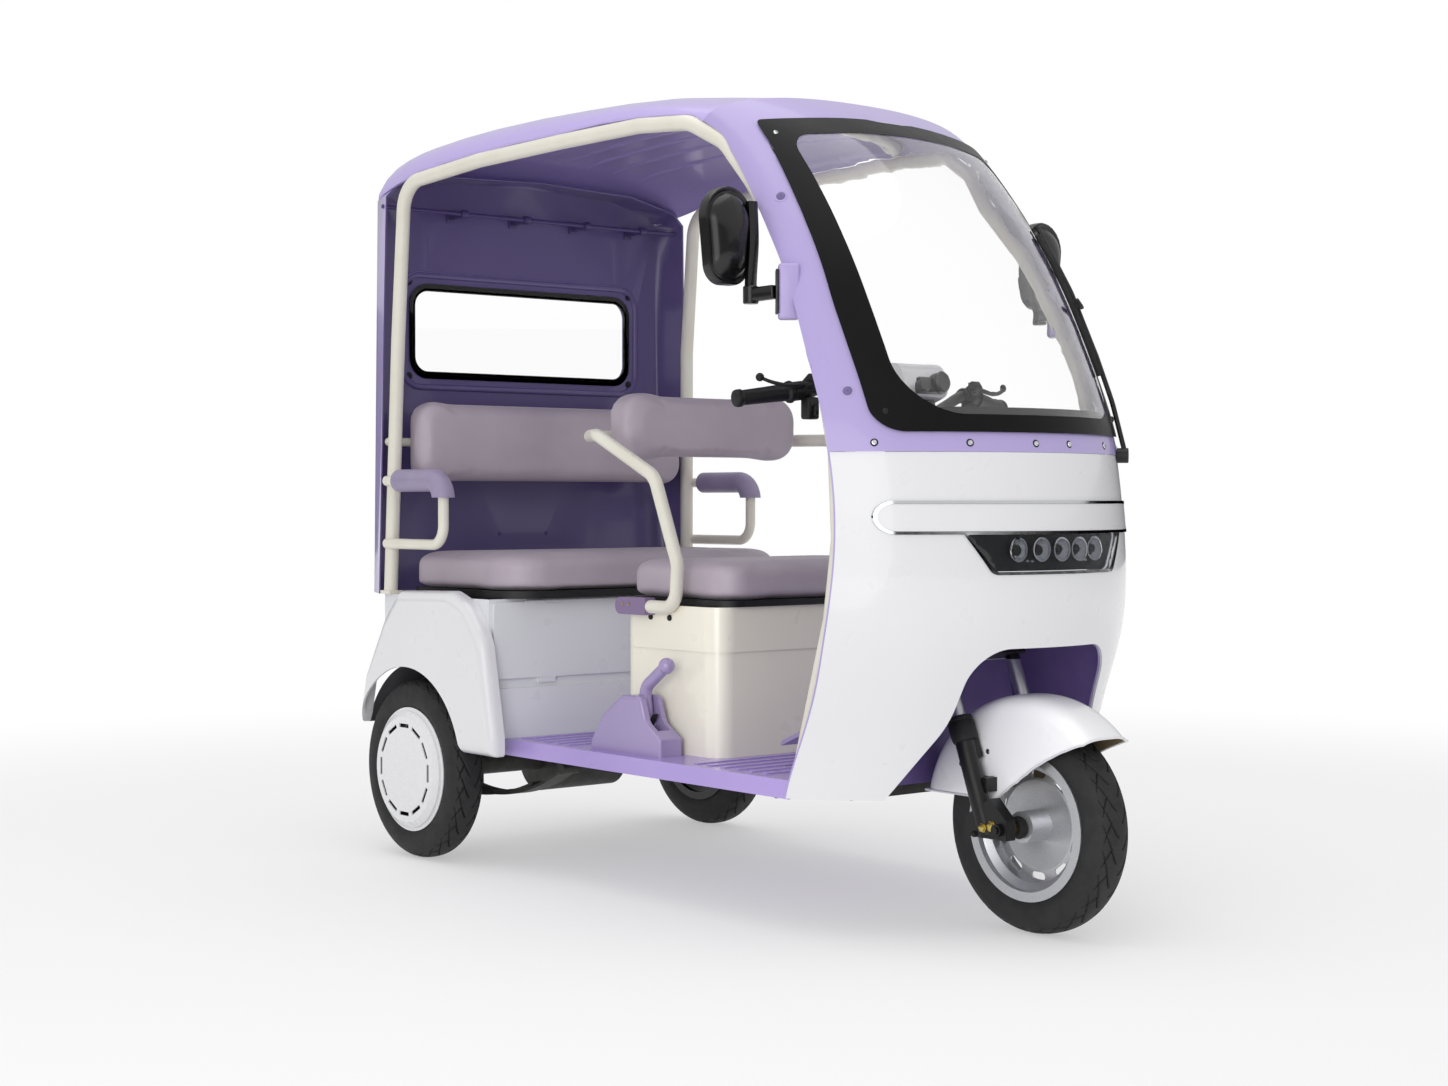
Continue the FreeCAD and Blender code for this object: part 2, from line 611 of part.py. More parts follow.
def makeDeck():
    body = doc.addObject("PartDesign::Body", "floor_deck")
    sketch = sketchOn(body, "XY_Plane", "deck_plan")
    wide = "sizes.deck_half_width"
    outline(sketch, [
        ("sizes.deck_rear", "-" + wide), ("sizes.deck_shoulder", "-" + wide),
        ("sizes.deck_shoulder", "-sizes.deck_tongue"), ("sizes.deck_front", "-sizes.deck_tongue"),
        ("sizes.deck_front", "-sizes.deck_tongue_inner"),
        ("sizes.deck_shoulder", "-sizes.deck_tongue_inner"),
        ("sizes.deck_shoulder", "-sizes.deck_notch_width / 2"),
        ("sizes.deck_shoulder - sizes.deck_notch_depth", "-sizes.deck_notch_width / 2"),
        ("sizes.deck_shoulder - sizes.deck_notch_depth", "sizes.deck_notch_width / 2"),
        ("sizes.deck_shoulder", "sizes.deck_notch_width / 2"),
        ("sizes.deck_shoulder", "sizes.deck_tongue_inner"),
        ("sizes.deck_front", "sizes.deck_tongue_inner"),
        ("sizes.deck_front", "sizes.deck_tongue"), ("sizes.deck_shoulder", "sizes.deck_tongue"),
        ("sizes.deck_shoulder", wide), ("sizes.deck_rear", wide),
    ])
    sketch.setExpression("AttachmentOffset.Base.z", "sizes.deck_bottom")
    pad(body, sketch, "deck_tray", "sizes.deck_top - sizes.deck_bottom")
    hollow = sketchOn(body, "XY_Plane", "deck_hollow_plan")
    inner = "(sizes.deck_half_width - sizes.deck_wall)"
    outline(hollow, [
        ("sizes.deck_rear - sizes.deck_wall", "-" + inner),
        ("sizes.deck_front + sizes.deck_wall", "-" + inner),
        ("sizes.deck_front + sizes.deck_wall", inner),
        ("sizes.deck_rear - sizes.deck_wall", inner),
    ])
    hollow.setExpression("AttachmentOffset.Base.z", "sizes.deck_top - sizes.deck_wall")
    pocket(body, hollow, "deck_hollow", "sizes.deck_top - sizes.deck_bottom")
    filletEdges(body, "deck_corners", "sizes.deck_corner",
                lambda edge: isUpright(edge) and edge.Vertexes[0].X < size.deck_rear + size.rib_height
                and abs(edge.Vertexes[0].Y) > size.deck_half_width - size.rib_height)
    rib_end = "(sizes.deck_half_width - sizes.rib_margin)"
    for name, place, count in (("rear", "sizes.deck_rear + sizes.bench_front - sizes.deck_rear"
                                " + sizes.rib_margin", 5),
                               ("front", "sizes.box_front + sizes.rib_margin", 6)):
        rib = sketchOn(body, "XY_Plane", name + "_rib_plan")
        outline(rib, [(place, "-" + rib_end), (place + " + sizes.rib_width", "-" + rib_end),
                      (place + " + sizes.rib_width", rib_end), (place, rib_end)])
        rib.setExpression("AttachmentOffset.Base.z", "sizes.deck_top")
        ridge = pad(body, rib, name + "_rib", "sizes.rib_height")
        pattern = body.newObject("PartDesign::LinearPattern", name + "_ribs")
        pattern.Originals = [ridge]
        pattern.Direction = (plane(body, "X_Axis"), [""])
        pattern.Occurrences = count
        pattern.setExpression("Length", "sizes.rib_pitch * %d" % (count - 1))
        body.Tip = pattern
        doc.recompute()
    return keepBody("floor_deck", body)


makeDeck()


# Bench box between and over the wheels, with its flap, lid board, cushion and battery.

def benchOutline(inset):
    """The bench box's outer or inner form, a wide shoulder over a narrow middle."""
    s = size
    wide = s.bench_half_width - inset
    narrow = s.bench_inner_half_width - inset
    low = s.deck_top + inset
    over_rails = s.rail_top + s.rail_rise + s.skin_gap + inset
    top = s.bench_top + (inset and s.bench_wall)
    form = block(s.bench_rear + inset, s.bench_front - inset, -narrow, narrow, over_rails, top)
    form = form.fuse(block(s.bench_rear + inset, s.bench_front - inset, -wide, wide,
                           s.bench_shoulder + inset, top))
    return form.fuse(block(s.bench_forward_part + inset, s.bench_front - inset, -wide, wide,
                           low, top))


KNUCKLE_SHARES = (-0.62, 0.0, 0.62)
BARREL_SHARE = 0.8
SEAT_SHARE = 0.6


def lidHinge(edge, rest):
    """A point of a lid's hinge axis: its barrel lies against the board's rear edge."""
    return Vector(edge - size.hinge_radius * SEAT_SHARE, 0, rest + size.lid_gap + size.hinge_radius)


def flapHinge():
    return Vector(size.bench_front - size.flap_thickness / 2, 0, size.flap_top)


def knuckles(axis, radius, half, gap=0):
    """The short rods on a hinge's axis that the fixed side carries."""
    rods = []
    for share in KNUCKLE_SHARES:
        reach = Vector(0, size.knuckle_length / 2 + gap, 0)
        middle = axis + Vector(0, half * share, 0)
        rods.append(rod(middle - reach, middle + reach, radius + gap))
    return rods


def barrel(axis, radius, half):
    """The moving side's rolled edge."""
    reach = Vector(0, half * BARREL_SHARE, 0)
    return rod(axis - reach, axis + reach, radius)


def hingedBoard(board, axis, half):
    """A lid board with its barrel, notched where the fixed knuckles stand."""
    s = size
    board = board.fuse(barrel(axis, s.hinge_radius, half))
    for pin in knuckles(axis, s.hinge_radius, half, s.knuckle_gap):
        room = pin.BoundBox
        board = board.cut(block(room.XMin, room.XMax, room.YMin, room.YMax, room.ZMin,
                                room.ZMax + s.bench_wall + s.base_thickness))
    return board


def makeBenchBox():
    s = size
    box = benchOutline(0).cut(benchOutline(s.bench_wall))
    axis = lidHinge(s.lid_rear + s.base_inset, s.bench_top)
    box = box.fuse(block(s.bench_rear, axis.x + s.hinge_radius, -s.bench_half_width,
                         s.bench_half_width, s.bench_top - s.bench_wall, s.bench_top))
    for pin in knuckles(axis, s.hinge_radius, s.lid_half_width):
        room = pin.BoundBox
        box = box.fuse(pin).fuse(block(room.XMin, room.XMax, room.YMin, room.YMax, s.bench_top,
                                       axis.z))
    recess = s.flap_thickness + s.flap_gap
    face_bottom = s.flap_bottom - s.slot_band
    step = block(s.bench_front - recess, s.bench_front, -overrun * 3, overrun * 3, face_bottom,
                 s.bench_top + s.bench_wall)
    box = box.cut(step)
    box = box.fuse(block(s.bench_front - recess - s.bench_wall, s.bench_front - recess,
                         -s.bench_half_width, s.bench_half_width, face_bottom - s.bench_wall,
                         s.bench_top))
    box = box.fuse(block(s.bench_front - recess - s.bench_wall, s.bench_front,
                         -s.bench_half_width, s.bench_half_width, face_bottom - s.bench_wall,
                         face_bottom))
    axis = flapHinge()
    for pin in knuckles(axis, s.flap_thickness / 2, s.flap_half_width):
        room = pin.BoundBox
        box = box.fuse(pin).fuse(block(s.bench_front - recess - s.bench_wall, axis.x, room.YMin,
                                       room.YMax, axis.z, room.ZMax))
    frame = s.flap_frame
    return box.cut(block(s.bench_front - recess - 2 * s.bench_wall, s.bench_front,
                         -s.flap_half_width + frame, s.flap_half_width - frame,
                         s.flap_bottom + frame / 2, s.flap_top - frame))


def makeFlap():
    s = size
    face = Part.Face(rounded([Vector(0, -s.flap_half_width, s.flap_bottom),
                              Vector(0, s.flap_half_width, s.flap_bottom),
                              Vector(0, s.flap_half_width, s.flap_top),
                              Vector(0, -s.flap_half_width, s.flap_top)],
                             [s.flap_frame / 2] * 4))
    flap = face.extrude(Vector(s.flap_thickness, 0, 0))
    flap.translate(Vector(s.bench_front - s.flap_thickness, 0, 0))
    tab = block(s.bench_front - s.flap_thickness, s.bench_front + s.latch_reach - s.flap_thickness,
                -s.flap_half_width * 0.72, -s.flap_half_width * 0.72 + s.latch_length,
                s.flap_bottom - s.latch_height, s.flap_bottom)
    flap = flap.fuse(tab).fuse(barrel(flapHinge(), s.flap_thickness / 2, s.flap_half_width))
    for pin in knuckles(flapHinge(), s.flap_thickness / 2, s.flap_half_width, s.knuckle_gap):
        flap = flap.cut(pin)
    return flap


def slab(x0, x1, half, z0, z1, rear_radius, front_radius):
    """A plate or cushion blank with rounded corners in plan."""
    corners = [Vector(x0, -half, z0), Vector(x1, -half, z0), Vector(x1, half, z0),
               Vector(x0, half, z0)]
    wire = rounded(corners, [rear_radius, front_radius, front_radius, rear_radius])
    return Part.Face(wire).extrude(Vector(0, 0, z1 - z0))


def topEdges(shape, z):
    return [e for e in shape.Edges if all(abs(v.Z - z) < 1e-4 for v in e.Vertexes)]


def cushion(x0, x1, half, z0, z1, rear_radius, front_radius, edge):
    blank = slab(x0, x1, half, z0, z1, rear_radius, front_radius)
    return blank.makeFillet(edge, topEdges(blank, z1))


def makeBenchSeat():
    s = size
    low = s.bench_top + s.lid_gap
    inset = s.base_inset
    board = slab(s.lid_rear + inset, s.lid_front - inset, s.lid_half_width - inset, low,
                 low + s.base_thickness, s.cushion_edge, s.cushion_corner - inset)
    axis = lidHinge(s.lid_rear + inset, s.bench_top)
    keep("bench_base", hingedBoard(board, axis, s.lid_half_width))
    bottom = low + s.base_thickness + s.lid_gap
    keep("bench_cushion", cushion(s.lid_rear, s.lid_front, s.lid_half_width, bottom,
                                  bottom + s.cushion_height, s.cushion_edge * 1.2,
                                  s.cushion_corner, s.cushion_edge))


def uprightPad(back, thickness, half, low, high, corner, edge):
    """A backrest pad: rounded outline seen from the front, soft front edge."""
    face = Part.Face(rounded([Vector(back, -half, low), Vector(back, half, low),
                              Vector(back, half, high), Vector(back, -half, high)],
                             [corner] * 4))
    blank = face.extrude(Vector(thickness, 0, 0))
    front = [e for e in blank.Edges
             if all(abs(v.X - back - thickness) < 1e-4 for v in e.Vertexes)]
    return blank.makeFillet(edge, front)


keep("bench_box", makeBenchBox())
keep("bench_flap", makeFlap())
makeBenchSeat()
keep("battery", block(size.bench_rear + 2 * size.bench_wall,
                      size.bench_rear + 2 * size.bench_wall + size.battery_length,
                      -size.battery_width / 2, size.battery_width / 2,
                      size.rail_top + size.rail_rise + size.skin_gap + size.bench_wall,
                      size.rail_top + size.rail_rise + size.skin_gap + size.bench_wall
                      + size.battery_height))
keep("bench_backrest", uprightPad(size.rest_back, size.rest_thickness, size.rest_half_width,
                                  size.rest_bottom, size.rest_top, size.rest_corner,
                                  size.rest_edge))


# Rear fenders with the wheel arches, and the dark liners inside them.

def fenderForm(inset):
    """The fender seen from the side, as far in as the inset."""
    s = size
    length = s.fender_front - s.fender_rear
    tall = s.fender_top - s.fender_bottom
    outline_shares = ((0.0, 0.11), (0.05, 0.42), (0.20, 0.80), (0.31, 0.985), (0.69, 1.0),
                      (0.82, 0.93), (0.925, 0.72), (1.0, 0.12), (1.0, 0.0), (0.86, 0.0),
                      (0.0, 0.0))
    points = []
    for share_x, share_z in outline_shares:
        x = s.fender_rear + length * share_x
        z = s.fender_bottom + tall * share_z
        points.append(Vector(x, 0, z))
    radii_shares = (0.02, 0.3, 0.2, 0.12, 0.22, 0.3, 0.5, 0.04, 0.04, 0.0, 0.0)
    wire = rounded(points, [share * s.arch_radius for share in radii_shares])
    if inset:
        wire = min((wire.makeOffset2D(inset), wire.makeOffset2D(-inset)),
                   key=lambda offset: offset.BoundBox.XLength)
    return Part.Face(wire)


def makeFender():
    s = size
    deep = s.fender_face - s.fender_inner
    outer = fenderForm(0).extrude(Vector(0, deep, 0))
    outer.translate(Vector(0, -s.fender_face, 0))
    rim = [e for e in outer.Edges if all(abs(v.Y + s.fender_face) < 1e-4 for v in e.Vertexes)
           and e.BoundBox.ZMax > s.fender_bottom + s.fender_edge]
    outer = outer.makeFillet(s.fender_edge, rim)
    inner = fenderForm(s.fender_wall).extrude(Vector(0, deep, 0))
    inner.translate(Vector(0, -s.fender_face + s.fender_wall, 0))
    rim = [e for e in inner.Edges
           if all(abs(v.Y + s.fender_face - s.fender_wall) < 1e-4 for v in e.Vertexes)
           and e.BoundBox.ZMax > s.fender_bottom + s.fender_edge]
    inner = inner.makeFillet(s.fender_edge - s.fender_wall, rim)
    shell = outer.cut(inner)
    arch = rod(Vector(0, -2 * s.fender_face, s.axle_height), Vector(0, 0, s.axle_height),
               s.arch_radius)
    below = block(s.fender_rear - s.fender_wall, s.arch_radius * 0.2, -2 * s.fender_face, 0,
                  s.fender_bottom - s.fender_wall, s.axle_height + s.arch_radius * 0.35)
    shell = shell.cut(arch.fuse(below))
    return max(shell.Solids, key=lambda piece: piece.Volume)


def makeLiners():
    """Wheel houses: half-drums with an inner side wall, open outwards and below."""
    s = size
    outer_y = s.fender_inner - s.leaf_gap
    drum = rod(Vector(0, -outer_y, s.axle_height), Vector(0, -s.liner_side, s.axle_height),
               s.liner_radius + s.liner_wall)
    hollow = rod(Vector(0, -2 * outer_y, s.axle_height),
                 Vector(0, -s.liner_side - s.liner_wall, s.axle_height), s.liner_radius)
    house = drum.cut(hollow)
    house = house.cut(block(-2 * overrun, 2 * overrun, -2 * outer_y, 0, -overrun,
                            s.deck_top + s.skin_gap))
    house = house.cut(block(s.bench_forward_part - s.skin_gap, 2 * overrun, -2 * outer_y, 0, 0,
                            2 * overrun + s.axle_height))
    return Part.makeCompound([house, mirrored(house)])


right_fender = makeFender()
keep("rear_fenders", Part.makeCompound([right_fender, mirrored(right_fender)]))
keep("wheel_liners", makeLiners())


# Driver's seat: a moulded box, a lid with its cushion, a hoop and a backrest pad.

def makeSeatBox():
    s = size
    low = s.deck_top
    outer = slab(s.box_rear, s.box_front, s.box_half_width, low, s.box_top, s.box_corner * 0.6,
                 s.box_corner)
    waist = slab(s.box_rear - s.box_wall, s.box_front - s.box_ledge,
                 s.box_half_width - s.box_ledge, low - s.box_wall, s.box_ledge_height,
                 s.box_corner * 0.6, s.box_corner - s.box_ledge)
    band = slab(s.box_rear - s.box_wall, s.box_front + s.box_wall,
                s.box_half_width + s.box_wall, low - s.box_wall, s.box_ledge_height,
                s.box_corner * 0.6, s.box_corner)
    outer = outer.cut(band.cut(waist))
    inset = s.box_wall + s.box_ledge
    inner = slab(s.box_rear + s.box_wall, s.box_front - inset, s.box_half_width - inset,
                 low + s.box_wall, s.box_top + s.box_wall, s.box_corner * 0.5,
                 s.box_corner - inset)
    box = outer.cut(inner)
    axis = lidHinge(s.seat_rear + s.base_inset, s.box_top)
    for pin in knuckles(axis, s.hinge_radius, s.seat_half_width):
        room = pin.BoundBox
        leaf = block(room.XMin, s.box_rear, room.YMin, room.YMax,
                     s.box_top - s.knuckle_length / 2, s.box_top)
        neck = block(room.XMin, room.XMax, room.YMin, room.YMax, s.box_top, axis.z)
        box = box.fuse(pin).fuse(leaf).fuse(neck)
    return box


def makeDriverSeat():
    s = size
    low = s.box_top + s.lid_gap
    inset = s.base_inset
    board = slab(s.seat_rear + inset, s.seat_front - inset, s.seat_half_width - inset, low,
                 low + s.seat_base, s.cushion_edge, s.seat_corner - inset)
    axis = lidHinge(s.seat_rear + inset, s.box_top)
    keep("seat_base", hingedBoard(board, axis, s.seat_half_width))
    bottom = low + s.seat_base + s.lid_gap
    keep("driver_cushion", cushion(s.seat_rear, s.seat_front, s.seat_half_width, bottom,
                                   bottom + s.seat_height, s.cushion_edge * 1.2,
                                   s.seat_corner, s.cushion_edge))
    keep("driver_backrest", uprightPad(s.pad_back, s.pad_thickness, s.pad_half_width,
                                       s.pad_bottom, s.pad_top, s.pad_corner, s.cushion_edge))


def makeHoop():
    s = size
    behind = s.pad_back - s.hoop_radius - s.clamp_gap
    half = [Vector(s.hoop_start, -s.hoop_offset, s.hoop_start_height),
            Vector(s.hoop_knee - s.hoop_bend * 0.4, -s.hoop_offset, s.hoop_start_height),
            Vector(s.hoop_knee, -s.hoop_offset - s.hoop_radius * 0.6, s.hoop_knee_height),
            Vector(s.hoop_shoulder, -s.hoop_half_width + s.hoop_radius * 0.6,
                   s.hoop_shoulder_height),
            Vector(s.hoop_elbow, -s.hoop_half_width, s.hoop_elbow_height),
            Vector(behind, -s.hoop_back_half_width, s.hoop_elbow_height)]
    other = [Vector(p.x, -p.y, p.z) for p in reversed(half)]
    return tube(half + other, s.hoop_radius, s.hoop_bend)


def makeClamps():
    s = size
    x1 = s.hoop_start - s.clamp_gap
    x0 = x1 - s.clamp_length
    near = s.box_half_width + s.clamp_gap
    far = s.hoop_offset + s.hoop_radius
    z0 = s.hoop_start_height - s.clamp_height / 2
    z1 = s.hoop_start_height + s.clamp_height / 2
    face = Part.Face(rounded([Vector(x0, 0, z0), Vector(x1, 0, z0), Vector(x1, 0, z1),
                              Vector(x0, 0, z1)],
                             [s.clamp_height * 0.48, s.clamp_height * 0.1,
                              s.clamp_height * 0.1, s.clamp_height * 0.48]))
    clamp = face.extrude(Vector(0, far - near, 0))
    clamp.translate(Vector(0, -far, 0))
    return Part.makeCompound([clamp, mirrored(clamp)])


keep("seat_box", makeSeatBox())
makeDriverSeat()
keep("seat_hoop", makeHoop())
keep("hoop_clamps", makeClamps())


# Hand brake beside the seat and the foot pedal.

def makeHandBrake():
    s = size
    length, tall = s.brake_length, s.brake_height
    profile_shares = ((0.0, 0.0), (0.02, 0.16), (0.18, 0.62), (0.45, 0.98), (0.72, 1.0),
                      (0.80, 0.55), (1.0, 0.30), (1.0, 0.0))
    radii_shares = (0.0, 0.1, 0.3, 0.2, 0.15, 0.2, 0.05, 0.0)
    points = [Vector(s.brake_rear + length * a, 0, s.deck_top + tall * b)
              for a, b in profile_shares]
    housing = Part.Face(rounded(points, [share * tall for share in radii_shares]))
    housing = housing.extrude(Vector(0, s.brake_width, 0))
    housing.translate(Vector(0, -s.brake_place - s.brake_width / 2, 0))
    sides = [e for e in housing.Edges if e.BoundBox.YLength < s.lever_width * 0.01
             and e.BoundBox.ZMin > s.deck_top + tall * 0.1]
    housing = housing.makeFillet(s.brake_width * 0.12, sides)
    slot = block(s.brake_rear + length * 0.6, s.brake_rear + length * 0.9,
                 -s.brake_place - s.lever_width * 0.6, -s.brake_place + s.lever_width * 0.6,
                 s.deck_top + tall * 0.35, s.deck_top + tall * 1.2)
    housing = housing.cut(slot)
    pivot = Vector(s.brake_rear + length * 0.68, -s.brake_place, s.deck_top + tall * 0.5)
    elbow = pivot + Vector(s.lever_length * -0.1, 0, s.lever_length * 0.62)
    grip = elbow + Vector(s.lever_length * 0.62, 0, s.lever_length * 0.42)
    lever = tube([pivot, elbow, grip], s.lever_width / 2, s.lever_radius * 2)
    lever = lever.fuse(Part.makeSphere(s.lever_radius, grip))
    pin = rod(pivot + Vector(0, -s.brake_width / 2, 0), pivot + Vector(0, s.brake_width / 2, 0),
              s.lever_width / 3)
    return housing.fuse(lever).fuse(pin)


def makePedal():
    s = size
    low = Vector(s.pedal_rear, -s.pedal_place - s.pedal_width / 2, s.pedal_height)
    slope_share = 0.42
    rise = s.pedal_length * slope_share
    face = flat([low, low + Vector(s.pedal_length, 0, rise),
                 low + Vector(s.pedal_length, 0, rise - s.pedal_thickness),
                 low + Vector(0, 0, -s.pedal_thickness)])
    plate = face.extrude(Vector(0, s.pedal_width, 0))
    middle = Vector(s.pedal_rear + s.pedal_length / 2, -s.pedal_place,
                    s.pedal_height + rise / 2 - s.pedal_thickness / 2)
    foot = Vector(s.pedal_rear + s.pedal_length, -s.pedal_place, s.deck_top)
    arm = rod(middle, foot + Vector(0, 0, s.pedal_arm), s.pedal_arm / 2)
    base = block(foot.x - s.pedal_width / 2, foot.x + s.pedal_width / 2,
                 foot.y - s.pedal_width / 3, foot.y + s.pedal_width / 3,
                 s.deck_top + s.rib_height, s.deck_top + s.pedal_arm + s.rib_height)
    return plate.fuse(arm).fuse(base)


keep("hand_brake", makeHandBrake())
keep("foot_pedal", makePedal())


# Front shield: circular plan sections whose nose follows a curved profile.

# Height up the shield, how far the nose stands out, how far forward the side edge stands.
SHIELD_SHARES = (
    (0.00, -0.35, 0.00), (0.12, -0.20, 0.19), (0.28, 0.24, 0.52), (0.45, 0.80, 0.80),
    (0.62, 1.00, 0.96), (0.80, 0.90, 0.98), (1.00, 0.62, 0.83),
)


def shieldPlace(height_share, nose_share, edge_share):
    """Height, centre of the plan circle and place of the side edge of one section."""
    s = size
    height = s.shield_bottom + s.shield_height * height_share
    centre = s.wheel_base + s.nose_reach * nose_share - s.shield_radius
    edge = s.wheel_base + s.edge_reach - s.edge_swing * (1 - edge_share)
    return height, centre, edge


def arcAcross(centre, radius, edge, height):
    """The arc of a plan circle from the right side edge round the nose to the left."""
    half = math.sqrt(max(radius ** 2 - (edge - centre) ** 2, 0))
    return Part.Arc(Vector(edge, -half, height), Vector(centre + radius, 0, height),
                    Vector(edge, half, height)).toShape()


def shieldShell(depth, wall, step):
    """A wall of the shield that starts a depth inside its outer face."""
    wires = []
    for shares in SHIELD_SHARES:
        height, centre, edge = shieldPlace(*shares)
        radius = size.shield_radius - depth
        outer = arcAcross(centre, radius, edge - step, height)
        inner = arcAcross(centre, radius - wall, edge - step, height)
        a, b = outer.Vertexes[0].Point, outer.Vertexes[-1].Point
        c, d = inner.Vertexes[0].Point, inner.Vertexes[-1].Point
        wires.append(Part.Wire([outer, Part.LineSegment(b, d).toShape(), inner,
                                Part.LineSegment(c, a).toShape()]))
    return Part.makeLoft(wires, True, False)


def shieldInside(depth):
    """Everything behind the shield's face at a depth, as one solid."""
    wires = []
    for shares in SHIELD_SHARES:
        height, centre, edge = shieldPlace(*shares)
        radius = size.shield_radius - depth
        back = size.well_rear - size.well_margin
        arc = arcAcross(centre, radius, back, height)
        a, b = arc.Vertexes[0].Point, arc.Vertexes[-1].Point
        wires.append(Part.Wire([arc, Part.LineSegment(b, a).toShape()]))
    return Part.makeLoft(wires, True, False)


def archFace(margin, top):
    s = size
    half = [(s.opening_foot, s.shield_bottom - s.well_margin),
            (s.opening_foot, s.shield_bottom), (s.opening_waist, s.opening_waist_height),
            (s.opening_head, top)]
    right = [Vector(0, -y - margin, z) for y, z in half]
    left = [Vector(0, y + margin, z) for y, z in reversed(half)]
    corner = s.opening_corner
    radii = [0, corner / 4, 2 * corner, corner, corner, 2 * corner, corner / 4, 0]
    return Part.Face(rounded(right + left, radii))


def lampFace(margin):
    s = size
    top = s.strip_bottom - s.trim_width + margin
    return Part.Face(rounded([Vector(0, -s.lamp_top_half - margin, top),
                              Vector(0, -s.lamp_low_half - margin, s.lamp_bottom - margin),
                              Vector(0, s.lamp_low_half + margin, s.lamp_bottom - margin),
                              Vector(0, s.lamp_top_half + margin, top)],
                             [s.lamp_corner / 4, s.lamp_corner, s.lamp_corner,
                              s.lamp_corner / 4]))


def stripFace(margin):
    s = size
    half = s.strip_half_length + margin
    z0, z1 = s.strip_bottom - margin, s.strip_top + margin
    return Part.Face(rounded([Vector(0, -half, z0), Vector(0, half, z0), Vector(0, half, z1),
                              Vector(0, -half, z1)], [(z1 - z0) * 0.49] * 4))


def forwards(face):
    """A face across the vehicle swept forward through the shield."""
    prism = face.extrude(Vector(size.shield_radius, 0, 0))
    prism.translate(Vector(size.wheel_base - size.shield_radius * 0.7, 0, 0))
    return prism


def makeShield():
    s = size
    skin = shieldShell(0, s.skin, 0)
    arch = archFace(0, s.opening_top).extrude(Vector(s.shield_radius, 0, 0))
    arch.translate(Vector(s.well_rear, 0, 0))
    skin = skin.cut(arch).cut(forwards(lampFace(s.lamp_gap)))
    raised = shieldShell(-s.strip_rise, s.strip_rise + s.skin / 2, 0)
    skin = skin.fuse(raised.common(forwards(stripFace(0))))
    liner = shieldShell(s.skin + s.skin_gap, s.liner_skin, s.liner_step)
    liner = liner.cut(arch).cut(forwards(lampFace(s.lamp_gap)))
    return skin, liner


def makeWell():
    """The front wheel's house behind the arch, with a hole for the steering stem."""
    s = size
    outer = archFace(s.well_margin, s.well_top).extrude(Vector(s.shield_radius, 0, 0))
    inner = archFace(s.well_margin - s.well_wall, s.well_top - s.well_wall)
    inner = inner.extrude(Vector(s.shield_radius, 0, 0))
    outer.translate(Vector(s.well_rear, 0, 0))
    inner.translate(Vector(s.well_rear + s.well_wall, 0, 0))
    inner = inner.fuse(block(s.well_rear + s.well_wall, s.well_rear + s.shield_radius,
                             -s.opening_foot - s.well_margin + s.well_wall,
                             s.opening_foot + s.well_margin - s.well_wall,
                             s.shield_bottom - 2 * s.well_margin, s.shield_bottom))
    house = outer.cut(inner)
    inside = shieldInside(s.skin + s.liner_skin + 2 * s.skin_gap)
    house = house.common(inside)
    for side_way in (-1, 1):
        house = house.cut(neckTube(side_way, s.neck_radius + 2 * s.skin_gap))
    return house.cut(rod(onSteer(s.well_top - 3 * s.head_radius),
                         onSteer(s.head_bottom + s.head_radius), s.head_radius * 1.4))


def makeTrim():
    s = size
    band = shieldShell(-s.trim_rise, s.trim_rise - s.lamp_gap, 0)
    around = stripFace(s.trim_width).cut(stripFace(s.lamp_gap))
    ring_a = band.common(forwards(around))
    hoop = lampFace(s.trim_width).cut(lampFace(s.lamp_gap))
    hoop = hoop.cut(stripFace(s.trim_width / 2))
    ring_b = band.common(forwards(hoop))
    return ring_a.fuse(ring_b)


def makeLamp():
    s = size
    body = shieldShell(s.lamp_gap, s.lamp_depth, 0)
    return body.common(forwards(lampFace(-s.lamp_gap)))


shield, liner = makeShield()
keep("front_shield", shield)
keep("shield_liner", liner)
keep("wheel_well", makeWell())
keep("chrome_trim", makeTrim())
keep("head_lamp", makeLamp())


# Canopy skin: one family of arched sections from the belt line up the screen and over the roof.

# Each section: edge place, half width, edge height, crown place, crown height, and how far
# it has gone from the shield's plain arc to the roof's square-shouldered arch.
SCREEN_SHARES = (
    (0.8859, 0.9016, 0.0000, 1.0000, 0.0000, 0.00),
    (0.8678, 0.8924, 0.1324, 0.9819, 0.1388, 0.00),
    (0.8463, 0.8787, 0.2391, 0.9582, 0.2674, 0.05),
    (0.8130, 0.8581, 0.4036, 0.9147, 0.4499, 0.15),
    (0.7672, 0.8307, 0.5617, 0.8554, 0.6401, 0.35),
    (0.7141, 0.8101, 0.7275, 0.7763, 0.8136, 0.60),
    (0.6576, 0.8284, 0.8522, 0.6915, 0.9357, 0.85),
)
ROOF_SHARES = (
    (0.6576, 0.8284, 0.8522, 0.6915, 0.9357, 0.85),
    (0.5503, 0.8604, 0.8920, 0.5616, 0.9717, 1.00),
    (0.4034, 0.9016, 0.8882, 0.4034, 0.9949, 1.00),
    (0.2339, 0.9519, 0.8753, 0.2339, 1.0000, 1.00),
    (0.1209, 0.9840, 0.8522, 0.1096, 0.9871, 1.00),
    (0.0644, 0.9977, 0.8303, 0.0531, 0.9769, 1.00),
    (0.0249, 1.0000, 0.8136, 0.0136, 0.9486, 1.00),
    (0.0051, 1.0000, 0.8008, 0.0000, 0.8972, 1.00),
)
